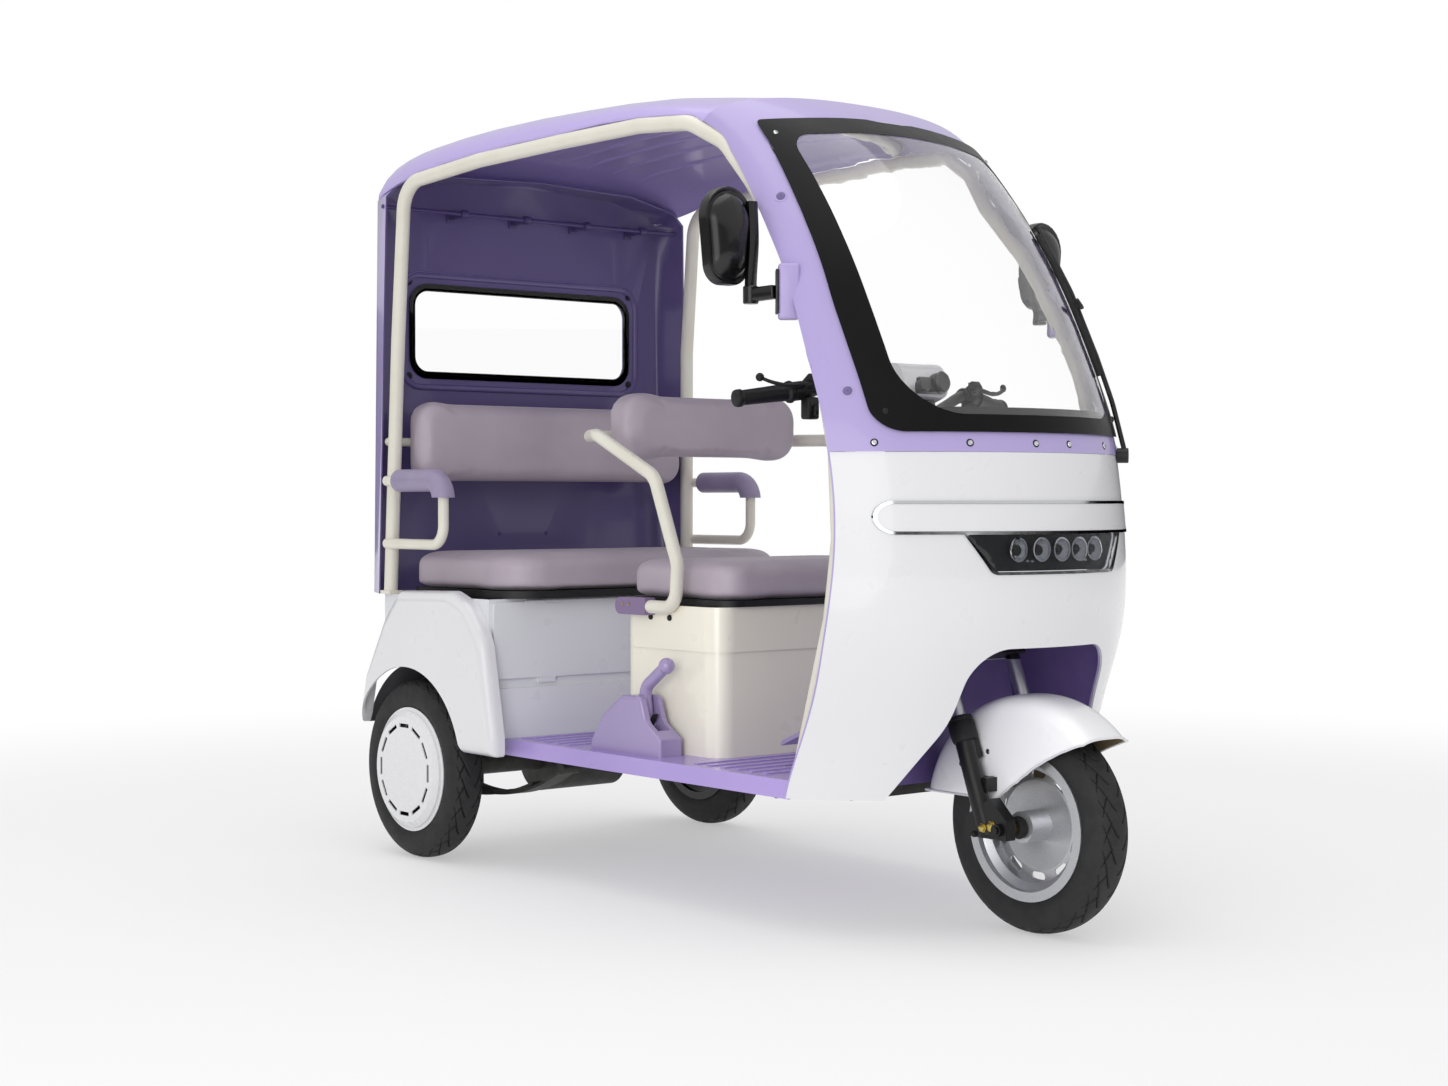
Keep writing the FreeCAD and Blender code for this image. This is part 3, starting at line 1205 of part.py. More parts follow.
# The side tube's corner points: along, across and up, from its foot to the floor in front.
TUBE_SHARES = (
    (0.0571, 1.0114, -0.3850), (0.0661, 0.9840, 0.3715), (0.0836, 0.9840, 0.8278),
    (0.2486, 0.9474, 0.8560), (0.4056, 0.8993, 0.8663), (0.5503, 0.8581, 0.8702),
    (0.6356, 0.8330, 0.8548), (0.6842, 0.7895, 0.7943), (0.7198, 0.7551, 0.6915),
    (0.7751, 0.7735, 0.5501), (0.8147, 0.8009, 0.4023), (0.8554, 0.8284, 0.2159),
    (0.8808, 0.8330, 0.0000), (0.8836, 0.8238, -0.2082), (0.8723, 0.8284, -0.4010),
    (0.8271, 0.8284, -0.7481),
)
SQUARENESS = 2.5


def canopyArc(section, depth):
    """The curve across one section, a depth inside the outer face, right edge to left."""
    s = size
    edge_share, half_share, low_share, crown_share, high_share, square_share = section
    edge = Vector(s.canopy_rear + s.canopy_length * edge_share, 0,
                  s.belt_height + s.canopy_rise * low_share)
    crown = Vector(s.canopy_rear + s.canopy_length * crown_share, 0,
                   s.belt_height + s.canopy_rise * high_share)
    half = s.canopy_half_width * half_share
    tall = (crown - edge).Length
    way = (crown - edge).normalize()
    radius = s.shield_radius
    foot = math.sqrt(radius ** 2 - half ** 2)
    places = []
    steps = 8
    for i in range(steps + 1):
        across_share = math.sin(math.pi / 2 * i / steps) ** (2 / SQUARENESS)
        arc = (math.sqrt(radius ** 2 - (across_share * half) ** 2) - foot) / (radius - foot)
        box = (1 - across_share ** SQUARENESS) ** (1 / SQUARENESS)
        up = (1 - square_share) * arc + square_share * box
        places.append(Vector(across_share * half, up * tall, 0))
    moved = []
    for i, place in enumerate(places):
        before = places[i - 1] if i else Vector(-places[1].x, places[1].y, 0)
        after = places[i + 1] if i < steps else place
        run = (after - before).normalize()
        moved.append(Vector(place.x + run.y * depth, place.y - run.x * depth, 0))
    points = [edge + way * p.y + Vector(0, -p.x, 0) for p in reversed(moved)]
    points += [edge + way * p.y + Vector(0, p.x, 0) for p in moved[1:]]
    curve = Part.BSplineCurve()
    curve.interpolate(points)
    return curve.toShape()


def moreSections(rows, extra):
    """Further sections between the given ones, on a smooth path through them all."""
    places = [0]
    for a, b in zip(rows, rows[1:]):
        places.append(places[-1] + math.hypot(size.canopy_length * (b[3] - a[3]),
                                              size.canopy_rise * (b[4] - a[4])))
    columns = []
    last = len(rows) - 1
    for values in zip(*rows):
        secants = [(values[i + 1] - values[i]) / (places[i + 1] - places[i])
                   for i in range(last)]
        slopes = [secants[0]]
        for i in range(1, last):
            before, after = places[i] - places[i - 1], places[i + 1] - places[i]
            slopes.append((secants[i - 1] * after + secants[i] * before) / (before + after))
        slopes.append(secants[-1])
        column = []
        for i in range(last):
            run = places[i + 1] - places[i]
            for part in range(extra + 1):
                t = part / (extra + 1)
                column.append((2 * t ** 3 - 3 * t ** 2 + 1) * values[i]
                              + (t ** 3 - 2 * t ** 2 + t) * run * slopes[i]
                              + (3 * t ** 2 - 2 * t ** 3) * values[i + 1]
                              + (t ** 3 - t ** 2) * run * slopes[i + 1])
        columns.append(column + [values[-1]])
    return [tuple(row[:5]) + (min(row[5], 1),) for row in zip(*columns)]


def canopyShell(rows, depth, wall, ruled=False):
    wires = []
    for section in rows:
        outer = canopyArc(section, depth)
        inner = canopyArc(section, depth + wall)
        a, b = outer.Vertexes[0].Point, outer.Vertexes[-1].Point
        c, d = inner.Vertexes[0].Point, inner.Vertexes[-1].Point
        wires.append(Part.Wire([outer, Part.LineSegment(b, d).toShape(), inner,
                                Part.LineSegment(c, a).toShape()]))
    return Part.makeLoft(wires, True, ruled)


def tubePoints(side_way):
    s = size
    return [Vector(s.canopy_rear + s.canopy_length * x_share,
                   side_way * s.canopy_half_width * y_share,
                   s.belt_height + s.canopy_rise * z_share)
            for x_share, y_share, z_share in TUBE_SHARES]


def sideTube(side_way, radius):
    """The bent tube that is post, roof rail and windscreen pillar in one."""
    points = tubePoints(side_way)
    foot = Vector(points[-1].x, points[-1].y, size.deck_top)
    return tube(points + [foot], radius, size.tube_bend)


def windowFace(half, low, high, crown, corner):
    """A rounded window outline across the vehicle whose top edge may rise to its middle."""
    points = [Vector(0, -half, low), Vector(0, half, low), Vector(0, half, high)]
    radii = [corner, corner, corner]
    if crown:
        points.append(Vector(0, 0, high + crown))
        radii.append(half)
    points.append(Vector(0, -half, high))
    radii.append(corner)
    return Part.Face(rounded(points, radii))


def screenPrism(inset):
    s = size
    face = windowFace(s.screen_half - inset, s.screen_bottom + inset, s.screen_top - inset,
                      s.screen_crown, s.screen_corner - inset * 0.6)
    prism = face.extrude(Vector(s.canopy_length, 0, 0))
    prism.translate(Vector(s.canopy_rear + s.canopy_length / 2, 0, 0))
    return prism


def armLoop(side):
    """Corner points of the armrest's tube, out from the post and back."""
    s = size
    back = tubePoints(1)[0].x
    return [Vector(back, side, s.arm_top), Vector(s.arm_reach, side, s.arm_top),
            Vector(s.arm_reach, side, s.arm_bottom), Vector(back, side, s.arm_bottom)]


def makeSideFrame(side_way):
    """Side tube with its foot plates and the looped armrest tube."""
    s = size
    frame = sideTube(side_way, s.tube_radius)
    post = tubePoints(side_way)[0]
    near, far = post.y - side_way * s.foot_plate / 2, post.y + side_way * s.tube_radius
    frame = frame.fuse(block(post.x - s.foot_plate / 2, post.x + s.foot_plate / 2,
                             min(near, far), max(near, far), s.bench_top + s.lid_gap,
                             s.bench_top + s.lid_gap + s.foot_thickness))
    return frame.fuse(tube(armLoop(side_way * s.arm_half), s.arm_tube, s.arm_bend))


def makeArmPad(side_way):
    s = size
    side = side_way * s.arm_half
    start = s.canopy_rear + s.canopy_length * 0.09
    loop = armLoop(side)
    sleeve = tube(loop, s.arm_pad_height, s.arm_bend)
    sleeve = sleeve.cut(tube(loop, s.arm_tube + s.arm_pad_gap, s.arm_bend))
    return sleeve.common(block(start, 2 * s.arm_reach, -2 * s.arm_half, 2 * s.arm_half,
                               s.arm_top - 1.5 * s.arm_pad_height, s.arm_top * 2))


def makeRoof():
    s = size
    roof = canopyShell(moreSections(ROOF_SHARES, 1), 0, s.canopy_wall, True)
    roof.translate(Vector(-s.roof_gap, 0, 0))
    for side_way in (-1, 1):
        roof = roof.cut(sideTube(side_way, s.tube_radius + s.belt_joint))
    return roof


def makeScreenFrame():
    s = size
    frame = canopyShell(SCREEN_SHARES, 0, s.canopy_wall)
    frame = frame.cut(screenPrism(s.screen_border))
    for side_way in (-1, 1):
        frame = frame.cut(sideTube(side_way, s.tube_radius + s.belt_joint))
    frame.translate(Vector(0, 0, s.belt_joint))
    return frame


def rearWindow(inset):
    s = size
    face = windowFace(s.window_half - inset, s.window_bottom + inset, s.window_top - inset, 0,
                      s.window_corner - inset / 2)
    prism = face.extrude(Vector(s.panel_foot_depth, 0, 0))
    prism.translate(Vector(s.panel_back - s.panel_foot_depth / 2, 0, 0))
    return prism


def makeGlazing():
    s = size
    screen = canopyShell(SCREEN_SHARES, -s.screen_seat - s.glass, s.glass)
    screen = screen.common(screenPrism(0))
    screen.translate(Vector(0, 0, s.belt_joint))
    inside = s.panel_back + s.panel_wall
    pane = rearWindow(-s.window_frame / 4)
    rear = pane.common(block(inside, inside + s.glass, -s.fender_face, s.fender_face,
                             s.bench_top, s.window_top + s.window_frame))
    return Part.makeCompound([screen, rear])


def panelForm(inset, back):
    """The rear panel's tray from its foot to the curve under the roof's end."""
    s = size
    low = s.bench_top + s.lid_gap
    crown = s.belt_height + s.canopy_rise * ROOF_SHARES[-1][4] - s.canopy_wall - s.roof_gap
    wires = []
    for depth in (0, 1):
        x_low = s.panel_back + back + (s.panel_foot_depth if depth else 0)
        lean_share = (s.panel_head_depth - s.panel_foot_depth) / (s.panel_shoulder - low)
        lean_share = lean_share if depth else 0
        foot = s.panel_foot_half - inset
        head = s.panel_head_half - inset
        places = [(-foot, low + inset), (-head, s.panel_shoulder - inset)]
        top_shares = (-0.93, -0.62, 0.0, 0.62, 0.93)
        rise_shares = (0.42, 0.86, 1.0, 0.86, 0.42)
        for across_share, rise_share in zip(top_shares, rise_shares):
            places.append((across_share * head, s.panel_shoulder - inset
                           + (crown - s.panel_shoulder) * rise_share))
        places += [(head, s.panel_shoulder - inset), (foot, low + inset)]
        points = [Vector(x_low + lean_share * (z - low), y, z) for y, z in places]
        wires.append(Part.makePolygon(points + [points[0]]))
    return Part.makeLoft(wires, True, True)


def makeRearPanel():
    s = size
    tray = panelForm(0, 0).cut(panelForm(s.panel_wall, s.panel_wall))
    step = s.panel_back + s.panel_wall
    deep = s.panel_head_depth
    lip = rearWindow(-s.window_frame).common(
        block(s.panel_back - s.window_rise, s.panel_back, -s.fender_face, s.fender_face,
              s.bench_top, s.belt_height + s.canopy_rise))
    tray = tray.fuse(lip).cut(rearWindow(0))
    for side_way in (-1, 1):
        hole = Vector(s.panel_back - deep, side_way * s.plate_hole_spacing / 2,
                      s.plate_hole_height)
        tray = tray.cut(rod(hole, hole + Vector(deep + 2 * s.panel_wall, 0, 0),
                            s.plate_hole_radius))
        tray = tray.cut(sideTube(side_way, s.tube_radius + s.belt_joint))
    lid = canopyShell(moreSections(ROOF_SHARES, 1)[-7:], -s.panel_wall,
                      2 * s.canopy_wall + s.panel_wall, True)
    lid.translate(Vector(-s.roof_gap, 0, 0))
    return tray.cut(lid)


def makeBackRail():
    """The bent rail behind the backrest and the thin rod under the roof's rear end."""
    s = size
    low, high = tubePoints(1)[0], tubePoints(1)[1]
    share = (s.back_rail_height - low.z) / (high.z - low.z)
    start = low.x + (high.x - low.x) * share - s.tube_radius - s.lid_gap
    side = low.y + (high.y - low.y) * share
    behind = s.rest_back - s.back_rail_radius - s.lid_gap
    half = [Vector(start, -side, s.back_rail_height),
            Vector(behind, -side, s.back_rail_height)]
    other = [Vector(p.x, -p.y, p.z) for p in reversed(half)]
    rail = tube(half + other, s.back_rail_radius, 3 * s.back_rail_radius)
    reach = s.panel_head_half - s.panel_wall
    rod_solid = rod(Vector(s.rod_place, -reach, s.rod_height),
                    Vector(s.rod_place, reach, s.rod_height), s.wiper_radius)
    return Part.makeCompound([rail, rod_solid])


keep("rear_panel", makeRearPanel())
keep("roof", makeRoof())
keep("screen_frame", makeScreenFrame())
keep("glazing", makeGlazing())
keep("side_frame_right", makeSideFrame(-1))
keep("side_frame_left", makeSideFrame(1))
keep("back_rail", makeBackRail())
keep("armrest_pads", Part.makeCompound([makeArmPad(-1), makeArmPad(1)]))


# Steering: stem with two crowns, fork legs, handlebar, its controls, the pod and the fender.

def along(a, b, share):
    return a + (b - a) * share


def makeStem():
    s = size
    low = onSteer(s.crown_height)
    stem = rod(low, onSteer(s.bar_height - s.bar_radius), s.stem_radius)
    lower = block(-s.crown_depth / 2, s.crown_depth / 2,
                  -s.leg_spacing / 2 - s.stanchion_radius - s.crown_thickness / 3,
                  s.leg_spacing / 2 + s.stanchion_radius + s.crown_thickness / 3,
                  -s.crown_thickness / 2, s.crown_thickness / 2)
    lower = lower.makeFillet(s.crown_depth * 0.3, [e for e in lower.Edges if isUpright(e)])
    tilt = Placement(low, Rotation(Vector(0, 0, 1), rake))
    lower.Placement = tilt
    stem = stem.fuse(lower)
    clamp = block(-s.clamp_block / 2, s.clamp_block / 2, -s.clamp_block, s.clamp_block,
                  -s.clamp_block * 0.45, s.clamp_block * 0.45)
    clamp.Placement = Placement(onSteer(s.bar_height), Rotation(Vector(0, 0, 1), rake))
    stem = stem.fuse(clamp)
    middle = onSteer(s.bar_height)
    return stem.cut(rod(middle - Vector(0, 2 * s.clamp_block, 0),
                        middle + Vector(0, 2 * s.clamp_block, 0),
                        s.bar_radius + s.stem_clearance))


def makeLegs():
    s = size
    legs = []
    axle = Vector(s.wheel_base, 0, s.axle_height)
    for side in (-1, 1):
        y = side * s.leg_spacing / 2
        leg = rod(onSteer(s.leg_top - s.leg_radius, y),
                  onSteer(s.crown_height + s.crown_thickness / 2, y), s.stanchion_radius)
        leg = leg.fuse(rod(onSteer(s.leg_bottom, y), onSteer(s.leg_top, y), s.leg_radius))
        near = y - side * s.lug_width / 2
        lug = flat([Vector(s.wheel_base - 2 * s.leg_setback, near, s.axle_height + s.leg_radius),
                    Vector(s.wheel_base - 2 * s.leg_setback, near, s.axle_height - s.leg_radius),
                    Vector(s.wheel_base + s.leg_radius, near, s.axle_height - s.leg_radius),
                    Vector(s.wheel_base + s.leg_radius, near, s.axle_height + s.leg_radius),
                    Vector(s.wheel_base - s.leg_setback / 2, near,
                           s.axle_height + 3 * s.leg_radius)])
        leg = leg.fuse(lug.extrude(Vector(0, side * s.lug_width, 0)))
        bracket = block(s.wheel_base - 2.2 * s.leg_setback, s.wheel_base - s.leg_setback,
                        min(side * s.guard_half_width, y), max(side * s.guard_half_width, y),
                        s.guard_low + s.leg_radius, s.guard_low + 2.4 * s.leg_radius)
        legs.append(leg.fuse(bracket.cut(rod(onSteer(s.leg_bottom, y), onSteer(s.leg_top, y),
                                             s.leg_radius / 2))))
    end = s.leg_spacing / 2 + s.lug_width / 2 + s.axle_nut
    bar = rod(axle + Vector(0, -end, 0), axle + Vector(0, end, 0), s.axle_radius)
    for side in (-1, 1):
        outer = axle + Vector(0, side * (s.leg_spacing / 2 + s.lug_width / 2), 0)
        bar = bar.fuse(rod(outer, outer + Vector(0, side * s.axle_nut * 0.7, 0), s.axle_nut))
    return legs[0].fuse(legs[1]).fuse(bar)


def barPoints():
    s = size
    middle = onSteer(s.bar_height)
    straight = s.bar_straight / 2
    knee = Vector(middle.x - s.bar_sweep * 0.8, s.bar_half_width * 0.56,
                  middle.z + s.bar_rise * 1.7)
    end = Vector(middle.x - s.bar_sweep * 1.27, s.bar_half_width, middle.z + s.bar_rise * 0.8)
    half = [Vector(middle.x, straight, middle.z), knee, end]
    return [Vector(p.x, -p.y, p.z) for p in reversed(half)] + half


def makeBar():
    return tube(barPoints(), size.bar_radius, size.bar_bend)


def makeControls():
    """Grips, switch perches and lever blades, all round the bar's two ends."""
    s = size
    pieces = []
    for side in (-1, 1):
        points = barPoints()
        knee, end = (points[1], points[0]) if side < 0 else (points[4], points[5])
        way = (knee - end).normalize()
        tip = end - way * (s.lever_gap * 0.1)
        inner = end + way * s.grip_length
        grip = rod(tip, inner, s.grip_radius)
        perch = rod(inner, inner + way * s.perch_width, s.perch_radius)
        ahead = Vector(1, 0, 0.35).normalize()
        arm_start = inner + way * (s.perch_width / 2)
        hinge = arm_start + ahead * s.lever_gap * 0.8
        perch = perch.fuse(rod(arm_start, hinge, s.perch_radius * 0.6))
        ball = end + ahead * s.lever_gap + way * (s.lever_ball * 2)
        blade = rod(hinge, ball, s.lever_thickness)
        piece = grip.fuse(perch).fuse(blade).fuse(Part.makeSphere(s.lever_ball, ball))
        piece = piece.fuse(Part.makeSphere(s.lever_thickness * 1.2, hinge))
        pieces.append(piece.cut(tube(points, s.bar_radius + s.stem_clearance, s.bar_bend)))
    return Part.makeCompound(pieces)


def makePod():
    s = size
    face = Part.Face(rounded([Vector(-s.pod_depth / 2, 0, 0), Vector(s.pod_depth / 2, 0, 0),
                              Vector(s.pod_depth / 2, 0, s.pod_height),
                              Vector(-s.pod_depth / 2, 0, s.pod_height)],
                             [s.pod_corner * 0.8, s.pod_corner * 0.8, s.pod_corner * 1.2,
                              s.pod_corner * 0.5]))
    pod = face.extrude(Vector(0, s.pod_width, 0))
    pod.translate(Vector(0, -s.pod_width / 2, 0))
    pod.Placement = Placement(onSteer(s.bar_height + s.clamp_block * 0.42 + s.belt_joint),
                              Rotation(Vector(0, 0, 1), rake)).multiply(pod.Placement)
    return pod


def makeGuard():
    """The front fender: a U section turned about the axle, with skirts at the legs."""
    s = size
    outer, inner = s.guard_radius, s.guard_radius - s.guard_wall
    low = s.guard_side_radius
    half = s.guard_half_width
    points = [Vector(low, -half, 0), Vector(outer - half * 0.3, -half, 0),
              Vector(outer, -half * 0.6, 0), Vector(outer, half * 0.6, 0),
              Vector(outer - half * 0.3, half, 0), Vector(low, half, 0),
              Vector(low, half - s.guard_wall, 0),
              Vector(inner - half * 0.3, half - s.guard_wall, 0),
              Vector(inner, half * 0.58, 0), Vector(inner, -half * 0.58, 0),
              Vector(inner - half * 0.3, -half + s.guard_wall, 0),
              Vector(low, -half + s.guard_wall, 0)]
    front_angle, rear_angle = 45, 158
    guard = flat(points).revolve(Vector(0, 0, 0), Vector(0, -1, 0), rear_angle - front_angle)
    guard.rotate(Vector(0, 0, 0), Vector(0, -1, 0), front_angle)
    guard.translate(Vector(s.wheel_base, 0, s.axle_height))
    for side in (-1, 1):
        skirt = block(s.wheel_base - 2.6 * s.leg_setback, s.wheel_base - 0.6 * s.leg_setback,
                      min(side * (half - s.guard_wall), side * half),
                      max(side * (half - s.guard_wall), side * half),
                      s.guard_low, s.axle_height + low * 1.02)
        guard = guard.fuse(skirt)
    return guard


keep("front_fork", makeStem().fuse(makeLegs()))
keep("handlebar", makeBar())
keep("hand_controls", makeControls())
keep("instrument_pod", makePod())
keep("front_fender", makeGuard())


# Fittings: dashboard, mirrors and wiper.

def makeDash():
    s = size
    face = Part.Face(rounded([Vector(0, -s.dash_half_width, s.dash_bottom),
                              Vector(0, s.dash_half_width, s.dash_bottom),
                              Vector(0, s.dash_half_width, s.dash_top),
                              Vector(0, -s.dash_half_width, s.dash_top)],
                             [s.dash_corner] * 4))
    dash = face.extrude(Vector(s.shield_radius / 2, 0, 0))
    dash.translate(Vector(s.dash_rear, 0, 0))
    beyond = canopyShell(SCREEN_SHARES[:3], -s.shield_radius / 2,
                         s.shield_radius / 2 + s.canopy_wall + s.dash_gap)
    return dash.cut(beyond)


def makeMirror(side):
    s = size
    place = Vector(s.mirror_place, side * s.mirror_side, s.mirror_height)
    half, tall, deep = s.mirror_width / 2, s.mirror_tall / 2, s.mirror_depth
    face = Part.Face(rounded([Vector(0, -half, -tall), Vector(0, half, -tall),
                              Vector(0, half, tall), Vector(0, -half, tall)],
                             [half * 0.55] * 4))
    head = face.extrude(Vector(deep, 0, 0))
    front = [e for e in head.Edges if all(abs(v.X - deep) < 1e-4 for v in e.Vertexes)]
    head = head.makeFillet(deep * 0.6, front)
    head.translate(place - Vector(deep / 2, 0, 0))
    points = tubePoints(side)
    post = points[-6]
    base = Vector(post.x, post.y + side * (s.tube_radius * 1.5), s.mount_height)
    knuckle = base + Vector(-s.mirror_depth, side * s.mount_width * 0.6, s.mount_depth / 2)
    stem = rod(base, knuckle, s.mirror_stem).fuse(Part.makeSphere(s.mirror_knuckle, knuckle))
    stem = stem.fuse(rod(knuckle, place + Vector(0, 0, -tall * 0.3), s.mirror_stem))
    plate = block(base.x - s.mount_depth / 2, base.x + s.mount_depth / 2,
                  min(base.y - side * s.mount_width, base.y + side * s.mount_width / 3),
                  max(base.y - side * s.mount_width, base.y + side * s.mount_width / 3),
                  s.mount_height - s.mount_tall / 2, s.mount_height + s.mount_tall / 2)
    solid = head.fuse(stem).fuse(plate)
    solid = solid.cut(sideTube(side, s.tube_radius + s.dash_gap))
    cutter = canopyShell(SCREEN_SHARES, -s.belt_joint, s.shield_radius / 4)
    return solid.cut(cutter)


def makeWiper():
    s = size
    sections = (SCREEN_SHARES[0], SCREEN_SHARES[1], SCREEN_SHARES[2], SCREEN_SHARES[3],
                SCREEN_SHARES[4])
    offset = -s.screen_seat - s.glass - s.wiper_offset
    places = []
    for section in sections:
        edge = canopyArc(section, offset)
        low, high = edge.FirstParameter, edge.LastParameter
        while high - low > 1e-4 * edge.Length:
            middle = (low + high) / 2
            if edge.valueAt(middle).y < s.wiper_side:
                low = middle
            else:
                high = middle
        places.append(edge.valueAt(low))
    arm = tube(places, s.wiper_radius, s.tube_bend * 4)
    pivot = canopyArc(SCREEN_SHARES[0], 0).distToShape(Part.Vertex(places[0]))[1][0][0]
    out = (places[0] - pivot).normalize()
    boss = rod(pivot + out * s.belt_joint, places[0] + out * s.wiper_radius, s.wiper_pivot)
    return arm.fuse(boss)


keep("dashboard", makeDash())
keep("mirrors", Part.makeCompound([makeMirror(-1), makeMirror(1)]))
keep("wiper", makeWiper())


doc.recompute()
os.makedirs("parts", exist_ok=True)
for item in doc.Objects:
    if "Invalid" in item.State or "Error" in item.State:
        raise RuntimeError("%s did not compute" % item.Label)
for name, solid in parts.items():
    shape = solid.Shape
    if shape.isNull() or not shape.isValid() or not shape.Solids:
        raise RuntimeError("%s is not a sound solid" % name)
for name, solid in parts.items():
    solid.Shape.exportStep("parts/%s.step" % name)
    print("%-20s solids %d  volume %.0f" % (name, len(solid.Shape.Solids), solid.Shape.Volume))
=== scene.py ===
import bpy
import bmesh
import math
from mathutils import Matrix, Vector
from mathutils.bvhtree import BVHTree


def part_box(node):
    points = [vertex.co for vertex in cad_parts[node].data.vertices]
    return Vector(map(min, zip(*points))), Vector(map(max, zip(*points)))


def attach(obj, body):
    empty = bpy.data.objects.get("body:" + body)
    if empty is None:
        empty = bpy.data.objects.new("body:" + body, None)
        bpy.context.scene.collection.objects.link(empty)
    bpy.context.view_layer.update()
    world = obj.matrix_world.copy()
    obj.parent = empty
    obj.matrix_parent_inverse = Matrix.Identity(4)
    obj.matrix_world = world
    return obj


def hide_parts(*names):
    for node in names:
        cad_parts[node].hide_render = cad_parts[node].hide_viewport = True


# Auto rickshaw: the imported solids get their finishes, and the soft, small and fine pieces are added.

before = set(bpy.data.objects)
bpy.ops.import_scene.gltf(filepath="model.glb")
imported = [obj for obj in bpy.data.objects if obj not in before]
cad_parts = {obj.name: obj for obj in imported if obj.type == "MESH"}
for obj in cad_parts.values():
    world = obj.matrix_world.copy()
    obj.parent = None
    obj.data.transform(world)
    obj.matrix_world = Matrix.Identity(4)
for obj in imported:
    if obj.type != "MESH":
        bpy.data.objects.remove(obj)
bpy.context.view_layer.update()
print("frame loaded,", len(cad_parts), "nodes")

mm = 0.001
steered = "steering_assembly"


def middle(node):
    low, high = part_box(node)
    return (low + high) / 2


frontAxle = middle("front_tyre")


# Camera: the photograph's place and lens, counted from the front axle.

camera = {"ahead": 2.864, "aside": -3.1336, "height": 0.8232, "turn": 50.51, "dip": 1.11,
          "focalPixels": 2214.27, "imageWidth": 1448, "sensor": 36, "farthest": 200}
data = bpy.data.cameras.new("photoCamera")
data.sensor_width = camera["sensor"]
data.lens = camera["focalPixels"] * camera["sensor"] / camera["imageWidth"]
data.clip_end = camera["farthest"]
eye = bpy.data.objects.new("photoCamera", data)
eye.location = (frontAxle.x + camera["ahead"], camera["aside"], camera["height"])
eye.rotation_euler = (math.radians(90 - camera["dip"]), 0, math.radians(camera["turn"]))
bpy.context.scene.collection.objects.link(eye)
bpy.context.scene.camera = eye


# Materials. A noise is (size in mm, detail, roughness) and a bump is (depth in mm, strength).

surfaces = {
    # Two-pack gloss paint over moulded ABS: wet highlights over a faint orange peel.
    "glossPaint": {"tone": (420, 1), "stops": (0.35, 0.65), "shine": (60, 2), "rough": (0.24, 0.34),
                   "grain": (3.2, 1), "bump": (0.02, 0.5), "coat": 0.55, "coatRough": 0.06, "ior": 1.5},
    # The same paint where it lines the cab as well: a little duller all over.
    "linedPaint": {"shine": (80, 2), "rough": (0.26, 0.38), "grain": (3.2, 1), "bump": (0.02, 0.5),
                   "coat": 0.35, "coatRough": 0.08},
    # Powder coat on steel: an even satin colour with a soft, slightly pebbled skin.
    "powderCoat": {"tone": (90, 2), "stops": (0.3, 0.7), "shine": (25, 2), "rough": (0.3, 0.42),
                   "grain": (1.6, 2), "bump": (0.03, 0.6), "coat": 0.25, "coatRough": 0.2},
    # Injection-moulded ABS or polypropylene with a fine spark-eroded grain.
    "moulded": {"tone": (70, 3), "stops": (0.3, 0.7), "shine": (30, 2), "rough": (0.38, 0.55),
                "cells": 1.1, "bump": (0.05, 0.6)},
    # PVC leathercloth: pebble grain pressed in cells over soft folds, with a dull sheen.
    "leathercloth": {"tone": (160, 3), "stops": (0.3, 0.7), "shine": (40, 2), "rough": (0.42, 0.56),
                     "grain": (26, 3), "cells": 1.7, "bump": (0.35, 0.45), "sheen": 0.12,
                     "sheenRough": 0.4},
    # Carbon-black rubber: almost matt, paler where it is scuffed, near black down in the tread grooves,
    # which is partly unworn rubber and partly painted shade.
    "rubber": {"tone": (34, 5, 0.65), "stops": (0.35, 0.75), "shine": (20, 4), "rough": (0.55, 0.78),
               "grain": (1.2, 3), "bump": (0.06, 0.5), "grooves": "#020202"},
    # Plated or polished metal: fine polishing lines break up the reflection.
    "plated": {"shine": (12, 4), "rough": (0.2, 0.35), "grain": (2, 4), "bump": (0.01, 0.4),
               "metal": 1},
    # Aluminium-flake wheel enamel: a grey metal with sparkling grain and soft highlights.
    "silverEnamel": {"tone": (1.4, 2), "stops": (0.35, 0.65), "shine": (18, 3), "rough": (0.3, 0.45),
                     "bump": (0.02, 0.4), "metal": 0.75, "coat": 0.3},
    # Brushed-on chassis black over hot-rolled steel: uneven sheen and a film of road dust.
    "chassisBlack": {"tone": (45, 6, 0.7), "stops": (0.35, 0.7), "shine": (22, 4),
                     "rough": (0.4, 0.7), "grain": (2.5, 4), "bump": (0.1, 0.5)},
    # Sprayed enamel on one piece in several colours, laid on below by bands.
    "banded": {"shine": (20, 3), "grain": (1.8, 2), "bump": (0.03, 0.5)},
    # Clear sheet glazing: it bends light a little and mirrors the surroundings at a slant.
    "clearSheet": {"through": 1, "ior": 1.45, "evenRough": 0},
    # Matt studio card: no gloss at all.
    "card": {"evenRough": 0.9, "specular": 0},
}
inputNames = {"coat": "Coat Weight", "coatRough": "Coat Roughness", "metal": "Metallic",
              "sheen": "Sheen Weight", "sheenRough": "Sheen Roughness", "ior": "IOR",
              "through": "Transmission Weight", "evenRough": "Roughness",
              "specular": "Specular IOR Level"}
cabinCentre = (frontAxle.x - 0.95, 0, 1.05)


def linearColour(hexText):
    shares = [int(hexText[i:i + 2], 16) / 255 for i in (1, 3, 5)]
    return (*[s / 12.92 if s <= 0.04045 else ((s + 0.055) / 1.055) ** 2.4 for s in shares], 1)


